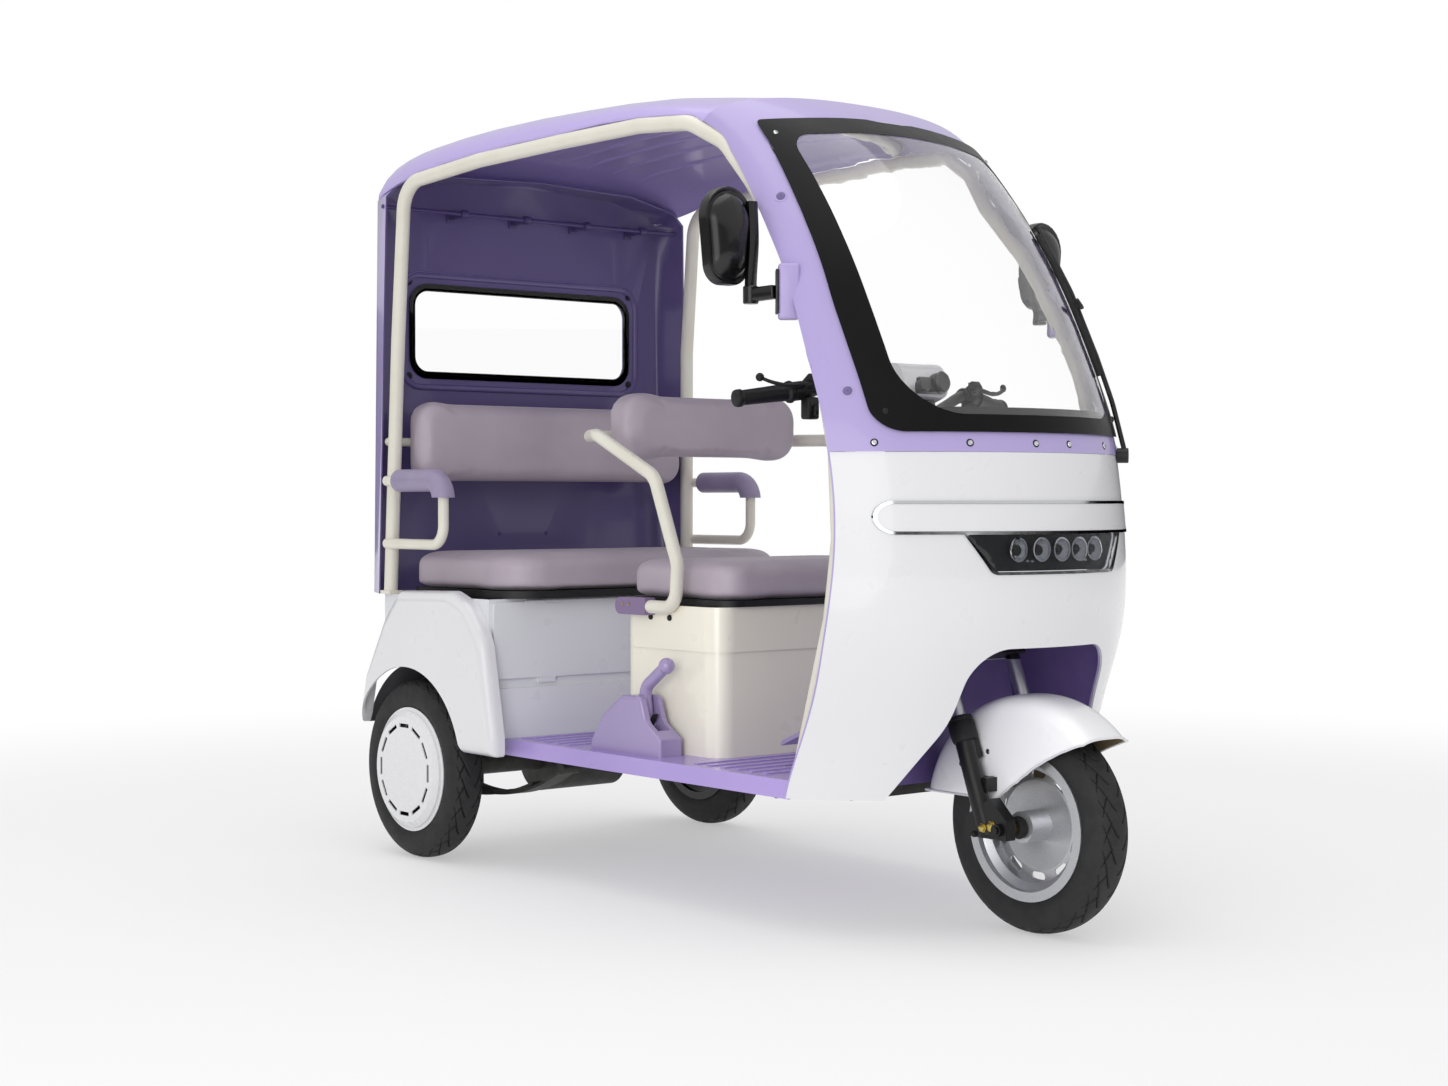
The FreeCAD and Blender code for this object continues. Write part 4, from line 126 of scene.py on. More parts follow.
def addNode(tree, kind, settings=None, links=None):
    node = tree.nodes.new("ShaderNode" + kind)
    for key, value in (settings or {}).items():
        if key == "stops":
            while len(node.color_ramp.elements) < len(value):
                node.color_ramp.elements.new(1)
            for element, (place, colour) in zip(node.color_ramp.elements, value):
                element.position = place
                element.color = linearColour(colour)
        elif key == "interpolation":
            node.color_ramp.interpolation = value
        elif isinstance(key, int) or key in node.inputs:
            node.inputs[key].default_value = value
        else:
            setattr(node, key, value)
    for key, source in (links or {}).items():
        tree.links.new(getattr(source, "outputs", [source])[0], node.inputs[key])
    return node


def surface(name, kind, *colours, **own):
    # a material of one of the kinds above, with its colours in the order of the stops
    facts = {**surfaces[kind], **own}
    settings = {inputNames[key]: value for key, value in facts.items() if key in inputNames}
    material = bpy.data.materials.new(name)
    material.use_nodes = True
    tree = material.node_tree
    tree.nodes.clear()
    place = addNode(tree, "TexCoord").outputs["Object"]
    noises = {}
    links = {}
    for use in ("tone", "shine", "grain"):
        if use in facts:
            size, detail, roughness = (*facts[use], 0.5)[:3]
            noises[use] = addNode(tree, "TexNoise", {"Scale": 1 / (size * mm), "Detail": detail,
                                                     "Roughness": roughness}, {"Vector": place})
    if "tone" in facts:
        links["Base Color"] = addNode(tree, "ValToRGB", {"stops": list(zip(facts["stops"], colours))},
                                      {"Fac": noises["tone"]})
        # near black where the groove attribute is set: painted shade of the grooves, partly unworn
        # rubber
        if "grooves" in facts:
            cut = addNode(tree, "Attribute", {"attribute_name": "groove"})
            links["Base Color"] = addNode(
                tree, "Mix", {"data_type": "RGBA", 7: linearColour(facts["grooves"])},
                {0: cut.outputs["Fac"], 6: links["Base Color"]}).outputs[2]
    elif colours:
        settings["Base Color"] = linearColour(colours[0])
    if "shine" in facts:
        low, high = facts["rough"]
        links["Roughness"] = addNode(tree, "MapRange", {"To Min": low, "To Max": high},
                                     {"Value": noises["shine"]})
    if "bump" in facts:
        height = noises.get("grain", noises.get("tone"))
        if "cells" in facts:
            cells = addNode(tree, "TexVoronoi", {"Scale": 1 / (facts["cells"] * mm)},
                            {"Vector": place})
            height = cells if "grain" not in facts else addNode(
                tree, "Math", {"operation": "MULTIPLY_ADD", 1: 0.25}, {0: cells, 2: height})
        depth, strength = facts["bump"]
        links["Normal"] = addNode(tree, "Bump", {"Strength": strength, "Distance": depth * mm},
                                  {"Height": height})
    shader = addNode(tree, "BsdfPrincipled", settings, links)
    addNode(tree, "OutputMaterial", links={"Surface": shader})
    return material


def partsOf(material):
    nodes = material.node_tree.nodes
    return (material.node_tree, nodes["Principled BSDF"],
            nodes["Texture Coordinate"].outputs["Object"])


def shadedInsidePanel(name, inside):
    # lilac outside, and a darker purple on the faces that look in at the cab, as painted shade of the
    # cab's inside
    material = surface(name, "linedPaint")
    tree, shader, place = partsOf(material)
    away = addNode(tree, "VectorMath", {"operation": "SUBTRACT", 1: cabinCentre}, {0: place})
    facing = addNode(tree, "VectorMath", {"operation": "DOT_PRODUCT"},
                     {0: away, 1: addNode(tree, "NewGeometry").outputs["True Normal"]})
    spread = addNode(tree, "MapRange", {"From Min": -0.02, "From Max": 0.02},
                     {"Value": facing.outputs["Value"]})
    ramp = addNode(tree, "ValToRGB",
                   {"interpolation": "CONSTANT", "stops": [(0, inside), (0.5, "#b9aadf")]},
                   {"Fac": spread})
    tree.links.new(ramp.outputs["Color"], shader.inputs["Base Color"])
    return material


def banded(name, node, axis, cuts, colours, metals, rough):
    # one piece in several finishes, cut at places in metres along X, Y or Z
    material = surface(name, "banded", rough=rough)
    tree, shader, place = partsOf(material)
    low, high = [corner["XYZ".index(axis)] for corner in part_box(node)]
    places = [0] + [(cut - low) / (high - low) for cut in cuts]
    split = addNode(tree, "SeparateXYZ", links={"Vector": place})
    share = addNode(tree, "MapRange", {"From Min": low, "From Max": high},
                    {"Value": split.outputs[axis]})
    for values, socket in ((colours, "Base Color"), (metals, "Metallic")):
        ramp = addNode(tree, "ValToRGB",
                       {"interpolation": "CONSTANT", "stops": list(zip(places, values))},
                       {"Fac": share})
        tree.links.new(ramp.outputs["Color"], shader.inputs[socket])
    return material


# The finishes by kind: colours in the order of the stops, the solids that wear each, and what
# it has of its own.

finishes = {
    "glossPaint": {
        "glossWhitePaint": ("#ececef #eeeef1", "rear_fenders front_shield instrument_pod front_fender"),
        "greyWhiteEnamel": ("#d6d7dc #dedfe4", "bench_box bench_flap", {"coat": 0.35}),
        "glossLilacPaint": ("#b1a1d9 #b9aadf", "shield_liner"),
        "lilacDeckPaint": ("#9d89c8 #a793d0", "floor_deck", {"coat": 0.2}),
        "deepPurplePaint": ("#7f6892 #88719a", "hoop_clamps", {"coat": 0.4}),
        "lilacBrakePlastic": ("#9586b0 #9e8fb8", "hand_brake foot_pedal", {"coat": 0.3}),
        "creamGelcoat": ("#e4e0d1 #ebe7da", "seat_box", {"coat": 0.35}),
        "pianoBlackAbs": ("#0b0b0d #08080a", "mirrors", {"coat": 0.4}),
        "glossBlackAbs": ("#09090a #060607", "", {"coat": 0.3}),
    },
    "powderCoat": {
        "creamPowderCoat": ("#e8e4d5 #efecdf", "seat_hoop side_frame_right side_frame_left"),
    },
    "moulded": {
        "taupeUndercoat": ("#82745a #8f8064", "", {"rough": (0.5, 0.7)}),
        "darkPurplePolypropylene": ("#726099 #7c6aa4", "wheel_well", {"rough": (0.3, 0.45)}),
        "duskPurplePolypropylene": ("#4b3f6e #54477a", "", {"rough": (0.3, 0.42)}),
        # A darker lilac for the screw heads and the hollows round them: painted shade of the hollows.
        "shadedLilacPlastic": ("#766a99 #7f72a3", "", {"rough": (0.35, 0.5)}),
        "lilacArmrestFoam": ("#998eae #a398b6", "armrest_pads", {"rough": (0.4, 0.52)}),
        "blackAbs": ("#1b1b1d #141416", "bench_base seat_base handlebar dashboard wiper"),
        "greyPolypropylene": ("#303136 #3a3b40", "wheel_liners", {"rough": (0.4, 0.6)}),
        "blackPrintedBorder": ("#09090a #060607", "", {"rough": (0.3, 0.4), "specular": 0.2}),
        "controlBlackRubber": ("#101011 #0a0a0b", "", {"rough": (0.42, 0.6)}),
        "lampBowlBlack": ("#121213 #0b0b0c", "", {"rough": (0.25, 0.35)}),
        "batteryCase": ("#333438 #3b3c40", "battery"),
    },
    "leathercloth": {
        "mauveLeathercloth": ("#a297a3 #ada2ad",
                              "bench_cushion bench_backrest driver_cushion driver_backrest"),
    },
    "rubber": {
        "tyreRubber": ("#222223 #2d2d2e", "front_tyre rear_tyre_right rear_tyre_left"),
        "softRubber": ("#131314 #1d1d1e", "hand_controls"),
    },
    "plated": {
        "chromePlate": ("#e3e4e6", "chrome_trim", {"rough": (0.05, 0.12)}),
        "yellowZincPlate": ("#cdb866", "", {"rough": (0.22, 0.38)}),
        "brightSteel": ("#c4c5c8", ""),
    },
    "silverEnamel": {
        "silverWheelEnamel": ("#b3b4b8 #c9cacd", "front_rim"),
    },
    "chassisBlack": {
        "chassisBlack": ("#33332f #55544e", "frame"),
        "castIronGrey": ("#2b2b2b #47463f", "rear_axle"),
    },
    "clearSheet": {
        "clearAcrylic": ("#ffffff", "glazing"),
        "smokedPolycarbonate": ("#b4b6ba", "head_lamp"),
    },
}


def wear(material, nodes):
    for node in nodes.split():
        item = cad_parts[node]
        if not item.material_slots:
            item.data.materials.append(material)
        for slot in item.material_slots:
            slot.material = material


for kind, rows in finishes.items():
    for name, (colours, nodes, *own) in rows.items():
        wear(surface(name, kind, *colours.split(), **dict(*own)), nodes)
# The inside colours given here are painted shade, darkest on the rear panel.
wear(shadedInsidePanel("roofLilacEnamel", "#9c8ec0"), "roof")
wear(shadedInsidePanel("screenFrameLilacEnamel", "#8a7cb2"), "screen_frame")
wear(shadedInsidePanel("rearPanelLilacEnamel", "#64578a"), "rear_panel")
for name, side in (("Right", -1), ("Left", 1)):
    # white enamel on the cap outside, dark grey on the rim and drum behind it
    node = "rear_rim_" + name.lower()
    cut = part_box(node)[side > 0].y - side * 18 * mm
    wear(banded("wheelCapEnamel" + name, node, "Y", [cut], ("#1c1c1e", "#f1f1f3")[::side],
                ("#000000",) * 2, (0.22, 0.32)), node)
# Black enamel on the lower legs and crown, hard chrome on the stanchions between them.
wear(banded("forkEnamelAndChrome", "front_fork", "Z", [0.398, 0.508],
            ("#09090a", "#d9dadd", "#09090a"), ("#000000", "#ffffff", "#000000"), (0.34, 0.5)),
     "front_fork")
# Cream powder coat on the back rail; the curtain rod above it is dark purple.
wear(banded("railCoat", "back_rail", "Z", [middle("back_rail").z], ("#efecdf", "#4f4075"),
            ("#000000",) * 2, (0.3, 0.42)), "back_rail")
print("finishes set")


# Making pieces: sections and profiles are in mm, places in metres.

def surfaceOf(*nodes):
    # a search tree over the faces of CAD nodes
    points = []
    faces = []
    for node in nodes:
        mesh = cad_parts[node].data
        first = len(points)
        points += [v.co.copy() for v in mesh.vertices]
        faces += [[first + i for i in face.vertices] for face in mesh.polygons]
    return BVHTree.FromPolygons(points, faces)


def addMesh(name, bm, material):
    mesh = bpy.data.meshes.new(name)
    bm.to_mesh(mesh)
    bm.free()
    mesh.materials.append(material)
    piece = bpy.data.objects.new(name, mesh)
    bpy.context.scene.collection.objects.link(piece)
    return piece


def finishPiece(name, bm, material, replaced=(), body="chassis", even=False):
    bmesh.ops.remove_doubles(bm, verts=bm.verts, dist=0.00001)
    bmesh.ops.recalc_face_normals(bm, faces=bm.faces)
    for face in bm.faces:
        face.smooth = True
    piece = addMesh(name, bm, bpy.data.materials[material])
    piece.data.set_sharp_from_angle(angle=math.radians(40))
    if even:
        # large flat faces keep their own direction where they run into a fillet
        addModifier(piece, "WEIGHTED_NORMAL", keep_sharp=True)
        applyModifiers(piece)
    if replaced:
        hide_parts(*replaced)
    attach(piece, body)
    return piece


def addModifier(piece, kind, **settings):
    made = piece.modifiers.new(kind.lower(), kind)
    for key, value in settings.items():
        setattr(made, key, value)
    return made


def applyModifiers(piece):
    # keeps what the modifiers made as the piece's own mesh
    bpy.context.view_layer.update()
    graph = bpy.context.evaluated_depsgraph_get()
    made = bpy.data.meshes.new_from_object(piece.evaluated_get(graph))
    piece.modifiers.clear()
    piece.data = made


def merge(bm, part):
    # moves the faces of one bmesh into another
    mesh = bpy.data.meshes.new("part")
    part.to_mesh(mesh)
    part.free()
    bm.from_mesh(mesh)
    bpy.data.meshes.remove(mesh)


def bridge(bm, rings, closed=True):
    # faces between each row of points and the next
    for here, there in zip(rings, rings[1:]):
        for i in range(len(here) if closed else len(here) - 1):
            j = (i + 1) % len(here)
            bm.faces.new((here[i], here[j], there[j], there[i]))


def frameAt(place, axis, up=(0, 0, 1)):
    # local Z along the axis, local Y as near to up as it goes
    along = Vector(axis).normalized()
    across = Vector(up).cross(along)
    if across.length < 0.01:
        across = Vector((1, 0, 0)).cross(along)
    across.normalize()
    turn = Matrix((across, along.cross(across), along)).transposed().to_4x4()
    turn.translation = Vector(place)
    return turn


def lathe(bm, profile, place, axis, steps=24):
    # a profile of (along, radius) pairs spun round an axis
    part = bmesh.new()
    points = [part.verts.new((radius * mm, 0, along * mm)) for along, radius in profile]
    edges = [part.edges.new(pair) for pair in zip(points, points[1:])]
    bmesh.ops.spin(part, geom=points + edges, cent=(0, 0, 0), axis=(0, 0, 1),
                   angle=2 * math.pi, steps=steps, use_merge=True, use_duplicate=False)
    bmesh.ops.remove_doubles(part, verts=part.verts, dist=0.000005)
    bmesh.ops.transform(part, matrix=frameAt(place, axis), verts=part.verts)
    merge(bm, part)


def roundBox(bm, sizes, place, axis=(0, 0, 1), up=(0, 1, 0), bevel=2.0, steps=2):
    # a box with rounded edges; its third size runs along the axis
    part = bmesh.new()
    bmesh.ops.create_cube(part, size=1)
    bmesh.ops.scale(part, vec=Vector(sizes) * mm, verts=part.verts)
    bmesh.ops.bevel(part, geom=part.edges[:], offset=bevel * mm, segments=steps, profile=0.5,
                    affect="EDGES")
    bmesh.ops.transform(part, matrix=frameAt(place, axis, up), verts=part.verts)
    merge(bm, part)


def smoothPath(points, count):
    # evenly taken points of a curve through the given ones
    spots = [Vector(p) for p in points]
    last = len(spots) - 1
    made = []
    for i in range(count + 1):
        place = i * last / count
        span = min(int(place), last - 1)
        share = place - span
        a, b, c, d = [spots[min(max(span + k, 0), last)] for k in (-1, 0, 1, 2)]
        made.append(0.5 * (2 * b + (c - a) * share + (2 * a - 5 * b + 4 * c - d) * share ** 2
                           + (3 * b - a - 3 * c + d) * share ** 3))
    return made


def sweepSection(bm, path, section, ups, closed=False, scales=None):
    # a closed section of (across, out) pairs carried along a path
    count = len(path)
    rings = []
    for i, spot in enumerate(path):
        after = path[(i + 1) % count] if closed else path[min(i + 1, count - 1)]
        before = path[i - 1] if closed or i else path[0]
        along = (after - before).normalized()
        up = Vector(ups[i] if isinstance(ups, list) else ups)
        across = along.cross(up).normalized()
        out = across.cross(along)
        scale = scales[i] if scales else 1
        rings.append([bm.verts.new(spot + (across * a + out * b) * scale * mm)
                      for a, b in section])
    bridge(bm, rings + rings[:1] if closed else rings)
    if not closed:
        bm.faces.new(rings[0])
        bm.faces.new(rings[-1][::-1])


def roundSection(radius, steps=12, squash=1.0):
    turns = [2 * math.pi * i / steps for i in range(steps)]
    return [(radius * math.cos(turn), radius * squash * math.sin(turn)) for turn in turns]


def loopOutline(corners, radii, cornerSteps, edgeSteps):
    # a closed outline with rounded corners; any radii give the same number of points
    arcs = []
    for i, corner in enumerate(corners):
        here = Vector(corner)
        before = (Vector(corners[i - 1]) - here).normalized()
        after = (Vector(corners[(i + 1) % len(corners)]) - here).normalized()
        opening = before.angle(after)
        reach = radii[i] / math.tan(opening / 2)
        centre = here + (before + after).normalized() * radii[i] / math.sin(opening / 2)
        start, end = here + before * reach, here + after * reach
        arcs.append([centre + (start.lerp(end, j / cornerSteps) - centre).normalized() * radii[i]
                     for j in range(cornerSteps + 1)])
    points = []
    for i, arc in enumerate(arcs):
        end = arcs[(i + 1) % len(arcs)][0]
        points += arc + [arc[-1].lerp(end, j / edgeSteps) for j in range(1, edgeSteps)]
    return points


def seat(tree, start, direction):
    # where a ray meets a surface, and the surface's normal there turned against the ray
    place, normal, index, distance = tree.ray_cast(Vector(start), Vector(direction))
    if place is None:
        return None, None
    return place, -normal if normal.dot(Vector(direction)) > 0 else normal


def fromFront(tree, across, height, start=2):
    # the same for a ray that runs backwards at a place across and a height in mm
    return seat(tree, (start, across * mm, height * mm), (-1, 0, 0))


# Tyres: the carcass is a section spun round the axle, with the tread grooves sunk into it.

tyre = {"beadShare": 128 / 205, "wideShare": 162 / 205, "ribShare": 0.70, "squareness": 2.5,
        "steps": 600, "crossSteps": 60, "wallSteps": 9, "pitchCount": 26,
        "grooveDepth": 4.0 * mm, "grooveWidth": 8.5 * mm, "treadReach": 0.80, "wallRib": 0.7 * mm,
        "cuts": [(0.10, 0.80, 1.5, 0.0), (0.42, 0.76, -0.7, 0.55)]}  # start, end, sweep, offset


def archPoints(half, shoulder, top, power, steps):
    # (across, radius) points of a squarish arch between two shoulders
    points = []
    for i in range(steps + 1):
        turn = math.pi * (i / steps - 0.5)
        points.append((math.copysign(abs(math.sin(turn)) ** power, turn) * half,
                       shoulder + (top - shoulder) * max(math.cos(turn), 0) ** power))
    return points


def grooveDepth(turn, across, half):
    # how deep the tread is cut at an angle round the tyre and a place across it
    u = abs(across) / half
    if u > tyre["treadReach"]:
        return 0
    pitch = 2 * math.pi / tyre["pitchCount"]
    stagger = 0 if across < 0 else 0.5
    depth = 0
    for start, end, sweepBack, offset in tyre["cuts"]:
        if start < u < end:
            share = (u - start) / (end - start)
            phase = (turn / pitch + stagger - offset - sweepBack * share ** 1.6) % 1
            away = min(phase, 1 - phase) * pitch * 0.2
            width = tyre["grooveWidth"] * (0.35 + 0.65 * math.sin(math.pi * share)) / 2
            depth = max(depth, min(1, max(0, 2.0 * (1 - away / width))))
    return depth * tyre["grooveDepth"]


for node, name, body in (("front_tyre", "frontTyre", "front_wheel"),
                         ("rear_tyre_right", "rearTyreRight", "rear_wheel_right"),
                         ("rear_tyre_left", "rearTyreLeft", "rear_wheel_left")):
    low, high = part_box(node)
    centre = middle(node)
    outer, half = (high.z - low.z) / 2, (high.y - low.y) / 2
    wide, bead = outer * tyre["wideShare"], outer * tyre["beadShare"]
    wall = [(-half * (0.62 + 0.38 * math.sin(share * math.pi / 2)), bead + (wide - bead) * share)
            for share in [i / tyre["wallSteps"] for i in range(tyre["wallSteps"])]]
    outline = (wall + archPoints(half, wide, outer, 2 / tyre["squareness"], tyre["crossSteps"])
               + [(-a, r) for a, r in reversed(wall)])
    bm = bmesh.new()
    section = [bm.verts.new(centre + Vector((0, a, r))) for a, r in outline]
    edges = [bm.edges.new(pair) for pair in zip(section, section[1:] + section[:1])]
    bmesh.ops.spin(bm, geom=section + edges, cent=centre, axis=(0, 1, 0), angle=2 * math.pi,
                   steps=tyre["steps"], use_merge=True, use_duplicate=False)
    # the groove share also drives the painted shade in the grooves
    groove = bm.verts.layers.float.new("groove")
    for vert in bm.verts:
        arm = vert.co - centre
        radius = math.hypot(arm.x, arm.z)
        if radius > outer * tyre["wideShare"]:
            out = Vector((arm.x, 0, arm.z)) / radius
            depth = grooveDepth(math.atan2(arm.z, arm.x) + math.pi, arm.y, half)
            vert[groove] = depth / tyre["grooveDepth"]
            vert.co -= out * depth
        elif radius > outer * tyre["ribShare"]:
            vert.co.y += math.copysign(tyre["wallRib"], arm.y) * (
                0.5 - 0.5 * math.cos(60 * math.pi * radius / outer))
    finishPiece(name, bm, "tyreRubber", [node], body)
print("tyres made")


# Padded pieces: each starts from its solid, is remeshed and blown up as cloth.

pads = {"shrink": 6 * mm, "pressure": 4, "quality": 6, "steps": 20, "fill": 0.8,
        # the solid, the piece, its body, the voxel and how far the cloth may move
        "pieces": [("bench_cushion", "benchCushion", "bench_lid", 8 * mm, 10 * mm),
                   ("bench_backrest", "benchBackrest", "chassis", 7 * mm, 9 * mm),
                   ("driver_cushion", "driverCushion", "driver_seat_lid", 7 * mm, 9 * mm),
                   ("driver_backrest", "driverBackrest", "chassis", 6 * mm, 9 * mm)]}


def copyOf(node, gap=0.02):
    # a node's mesh with its loose triangles joined
    bm = bmesh.new()
    bm.from_mesh(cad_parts[node].data)
    bmesh.ops.remove_doubles(bm, verts=bm.verts, dist=gap * mm)
    return bm


for node, name, body, voxel, cap in pads["pieces"]:
    low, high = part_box(node)
    centre = middle(node)
    bm = copyOf(node, 0.1)
    for vert in bm.verts:
        for i in range(3):
            reach = (high[i] - low[i]) / 2
            vert.co[i] = centre[i] + (vert.co[i] - centre[i]) * (1 - pads["shrink"] / reach)
    pad = finishPiece(name, bm, "mauveLeathercloth", [node], body)
    addModifier(pad, "REMESH", mode="VOXEL", voxel_size=voxel, use_smooth_shade=True)
    applyModifiers(pad)
    start = [v.co.copy() for v in pad.data.vertices]
    cloth = addModifier(pad, "CLOTH")
    cloth.settings.use_pressure = True
    cloth.settings.uniform_pressure_force = pads["pressure"]
    cloth.settings.quality = pads["quality"]
    cloth.settings.effector_weights.gravity = 0
    cloth.point_cache.frame_start = 1
    cloth.point_cache.frame_end = pads["steps"]
    for step in range(1, pads["steps"] + 1):
        bpy.context.scene.frame_set(step)
    applyModifiers(pad)
    for vert, old in zip(pad.data.vertices, start):
        move = vert.co - old
        if move.length > cap:
            vert.co = old + move.normalized() * cap
    bpy.context.scene.frame_set(1)
    for vert in pad.data.vertices:
        for i in range(3):
            vert.co[i] = min(max(vert.co[i], low[i] - 2 * mm * (i > 1)), high[i] + 4 * mm)
        if node.endswith("cushion"):
            vert.co.z = max(vert.co.z, low.z)
    addModifier(pad, "SMOOTH", factor=0.5, iterations=3)
    addModifier(pad, "SUBSURF", levels=1, render_levels=1)
    applyModifiers(pad)
    for face in pad.data.polygons:
        face.use_smooth = True
    print("pad made:", node)


# Windscreen border: a black printed band round the clear field, over the pane and its seat.

border = {
    "outer": [(-334, 948), (-334, 1200), (-309, 1567), (0, 1594), (309, 1567), (334, 1200),
              (334, 948)],
    "outerRadii": [46, 900, 12, 1800, 12, 900, 46],
    "inner": [(-286, 982), (-287, 1250), (-276, 1538), (0, 1560), (276, 1538), (287, 1250),
              (286, 982)],
    "innerRadii": [104, 4000, 46, 1800, 46, 4000, 104],
    "overPane": 0.5, "overFrame": 4.9, "thickness": 0.4, "rows": 8,
}
paneTree = surfaceOf("glazing")
frameTree = surfaceOf("screen_frame", "front_shield")


def overScreen(across, height, lift):
    # a point over the pane or over the frame round it, seen from the front
    place, normal = fromFront(paneTree, across, height)
    offset = border["overPane"]
    if place is None or place.x < 0:
        place, normal = fromFront(frameTree, across, height)
        offset = border["overFrame"]
    return place + normal * (offset + lift) * mm


bm = bmesh.new()
outer = loopOutline(border["outer"], border["outerRadii"], 10, 14)
inner = loopOutline(border["inner"], border["innerRadii"], 10, 14)
under, over = [[[bm.verts.new(overScreen(*a.lerp(b, row / border["rows"]), lift))
                 for a, b in zip(outer, inner)] for row in range(border["rows"] + 1)]
               for lift in (0, border["thickness"])]
for rings in (under, over, [under[0], over[0]], [under[-1], over[-1]]):
    bridge(bm, rings)
finishPiece("screenBorder", bm, "blackPrintedBorder")


# Screws in the screen frame: two in cup washers up each side, six socket heads along the foot.

screws = {
    "cup": [(-0.5, 0), (-0.5, 13), (0.5, 12.8), (0.9, 12), (0.7, 11), (0.05, 9), (0.05, 0)],
    "dot": [(0, 0), (0, 9.6), (0.35, 9), (0.35, 6), (1.2, 5.4), (1.6, 4.4), (1.6, 2.4),
            (0.5, 2.2), (0.5, 0)],
    "socket": [(-0.5, 0), (-0.5, 5.2), (1.6, 5.2), (2.6, 4.4), (2.8, 3.2), (2.8, 2.5),
               (0.9, 2.4), (0.9, 0)],
    "washer": [(-0.5, 0), (-0.5, 7.4), (0.5, 7.4), (0.8, 6.8), (0.8, 0)],
    "button": [(-0.5, 0), (-0.5, 6), (1.5, 6), (2.5, 4.5), (2.6, 0)],
    "sidePlaces": [(337, 1407), (353, 1025)], "footPlaces": [336, 186, 46], "footHeight": 929,
    "topPlace": (294, 1541), "cornerPlace": (312, 985),
}
cups, dots, chrome, dark = [bmesh.new() for made in range(4)]
for side in (-1, 1):
    for across, height in screws["sidePlaces"]:
        place, normal = fromFront(frameTree, side * across, height)
        lathe(cups, screws["cup"], place, normal)
        lathe(dots, screws["dot"], place, normal, 16)
    for across in screws["footPlaces"]:
        place, normal = fromFront(frameTree, side * across, screws["footHeight"])
        lathe(chrome, screws["socket"], place, normal)
        lathe(dark, screws["washer"], place, normal)
    across, height = screws["topPlace"]
    lathe(chrome, [(p - 0.6, r) for p, r in screws["socket"]],
          overScreen(side * across, height, border["thickness"]), (0.72, 0.1 * side, 0.69))
    across, height = screws["cornerPlace"]
    lathe(dark, screws["button"], overScreen(side * across, height, border["thickness"]),
          (0.95, 0.3 * side, 0.2))
finishPiece("frameCupWashers", cups, "screenFrameLilacEnamel")
# the screw heads and their hollows wear the darker lilac as painted shade
finishPiece("frameScrewHeads", dots, "shadedLilacPlastic")
finishPiece("frameSocketScrews", chrome, "chromePlate")
finishPiece("frameScrewSeals", dark, "softRubber")
print("screen border and screws made")


# Under the roof: pressed ribs from the rear to the bow, the bow itself, and the curtain clips.

ceiling = {
    "ribPlaces": range(-312, 313, 78), "ribRear": -0.895, "ribFront": -0.02, "ribSteps": 26,
    "rib": [(-7.5, -1), (-6, 2.5), (-3.375, 5.1), (0, 5.5), (3.375, 5.1), (6, 2.5), (7.5, -1)],
    "below": 1.45, "bowPlace": 0.012, "bowRadius": 13, "bowReach": 0.42, "bowSteps": 42,
    "clips": [-213, -31, 151, 326], "wall": -0.958,
    "clip": [(-9, 5), (-9, 9), (-7, 10.5), (7, 10.5), (9, 9), (9, 5)],
}
roofTree = surfaceOf("roof")
bm = bmesh.new()
steps = ceiling["ribSteps"]
for across in ceiling["ribPlaces"]:
    hits = [seat(roofTree, (ceiling["ribRear"] + (ceiling["ribFront"] - ceiling["ribRear"])
                            * (i / steps), across * mm, ceiling["below"]), (0, 0, 1))
            for i in range(steps + 1)]
    ends = [min(1, 0.25 + 3 * min(i, steps - i) / 6) for i in range(steps + 1)]
    sweepSection(bm, [place for place, normal in hits], ceiling["rib"],
                 [normal for place, normal in hits], False, ends)
finishPiece("roofRibs", bm, "roofLilacEnamel")

# the bow runs from tube to tube: the roof gives its arc, and the side tubes give its ends
tubeTree = surfaceOf("side_frame_left")
half = []
for i in range(ceiling["bowSteps"] + 1):
    y = ceiling["bowReach"] * i / ceiling["bowSteps"]
    place, normal = seat(roofTree, (ceiling["bowPlace"], y, ceiling["below"]), (0, 0, 1))
    if place is None:
        break
    spot = place + normal * (ceiling["bowRadius"] + 0.4) * mm
    inside, wall = seat(tubeTree, (spot.x, y - 0.1, spot.z), (0, 1, 0))
    half.append((spot, normal))
    if inside is not None and inside.y < y:
        break
points = [(Vector((p.x, -p.y, p.z)), Vector((n.x, -n.y, n.z))) for p, n in half[:0:-1]] + half
bm = bmesh.new()
sweepSection(bm, [p for p, n in points], roundSection(ceiling["bowRadius"], 16),
             [n for p, n in points])
finishPiece("roofBow", bm, "creamPowderCoat")

rod = [v.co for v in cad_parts["back_rail"].data.vertices if v.co.z > ceiling["below"]]
rodX = (min(p.x for p in rod) + max(p.x for p in rod)) / 2
rodZ = (min(p.z for p in rod) + max(p.z for p in rod)) / 2
wall = ceiling["wall"]
bm = bmesh.new()
for across in ceiling["clips"]:
    y = across * mm
    lathe(bm, ceiling["clip"], (rodX, y, rodZ), (0, 1, 0), 20)
    roundBox(bm, (13, 15, abs(rodX - wall) / mm), ((rodX + wall) / 2, y, rodZ), (1, 0, 0),
             (0, 0, 1))
    roundBox(bm, (22, 30, 4), (wall + mm, y, rodZ), (1, 0, 0), (0, 0, 1), 1.5)
finishPiece("curtainRodClips", bm, "duskPurplePolypropylene")
print("ceiling pieces made")


# Rear panel inside the cab: bolts, plugs in the number plate holes, the seal and its surround.

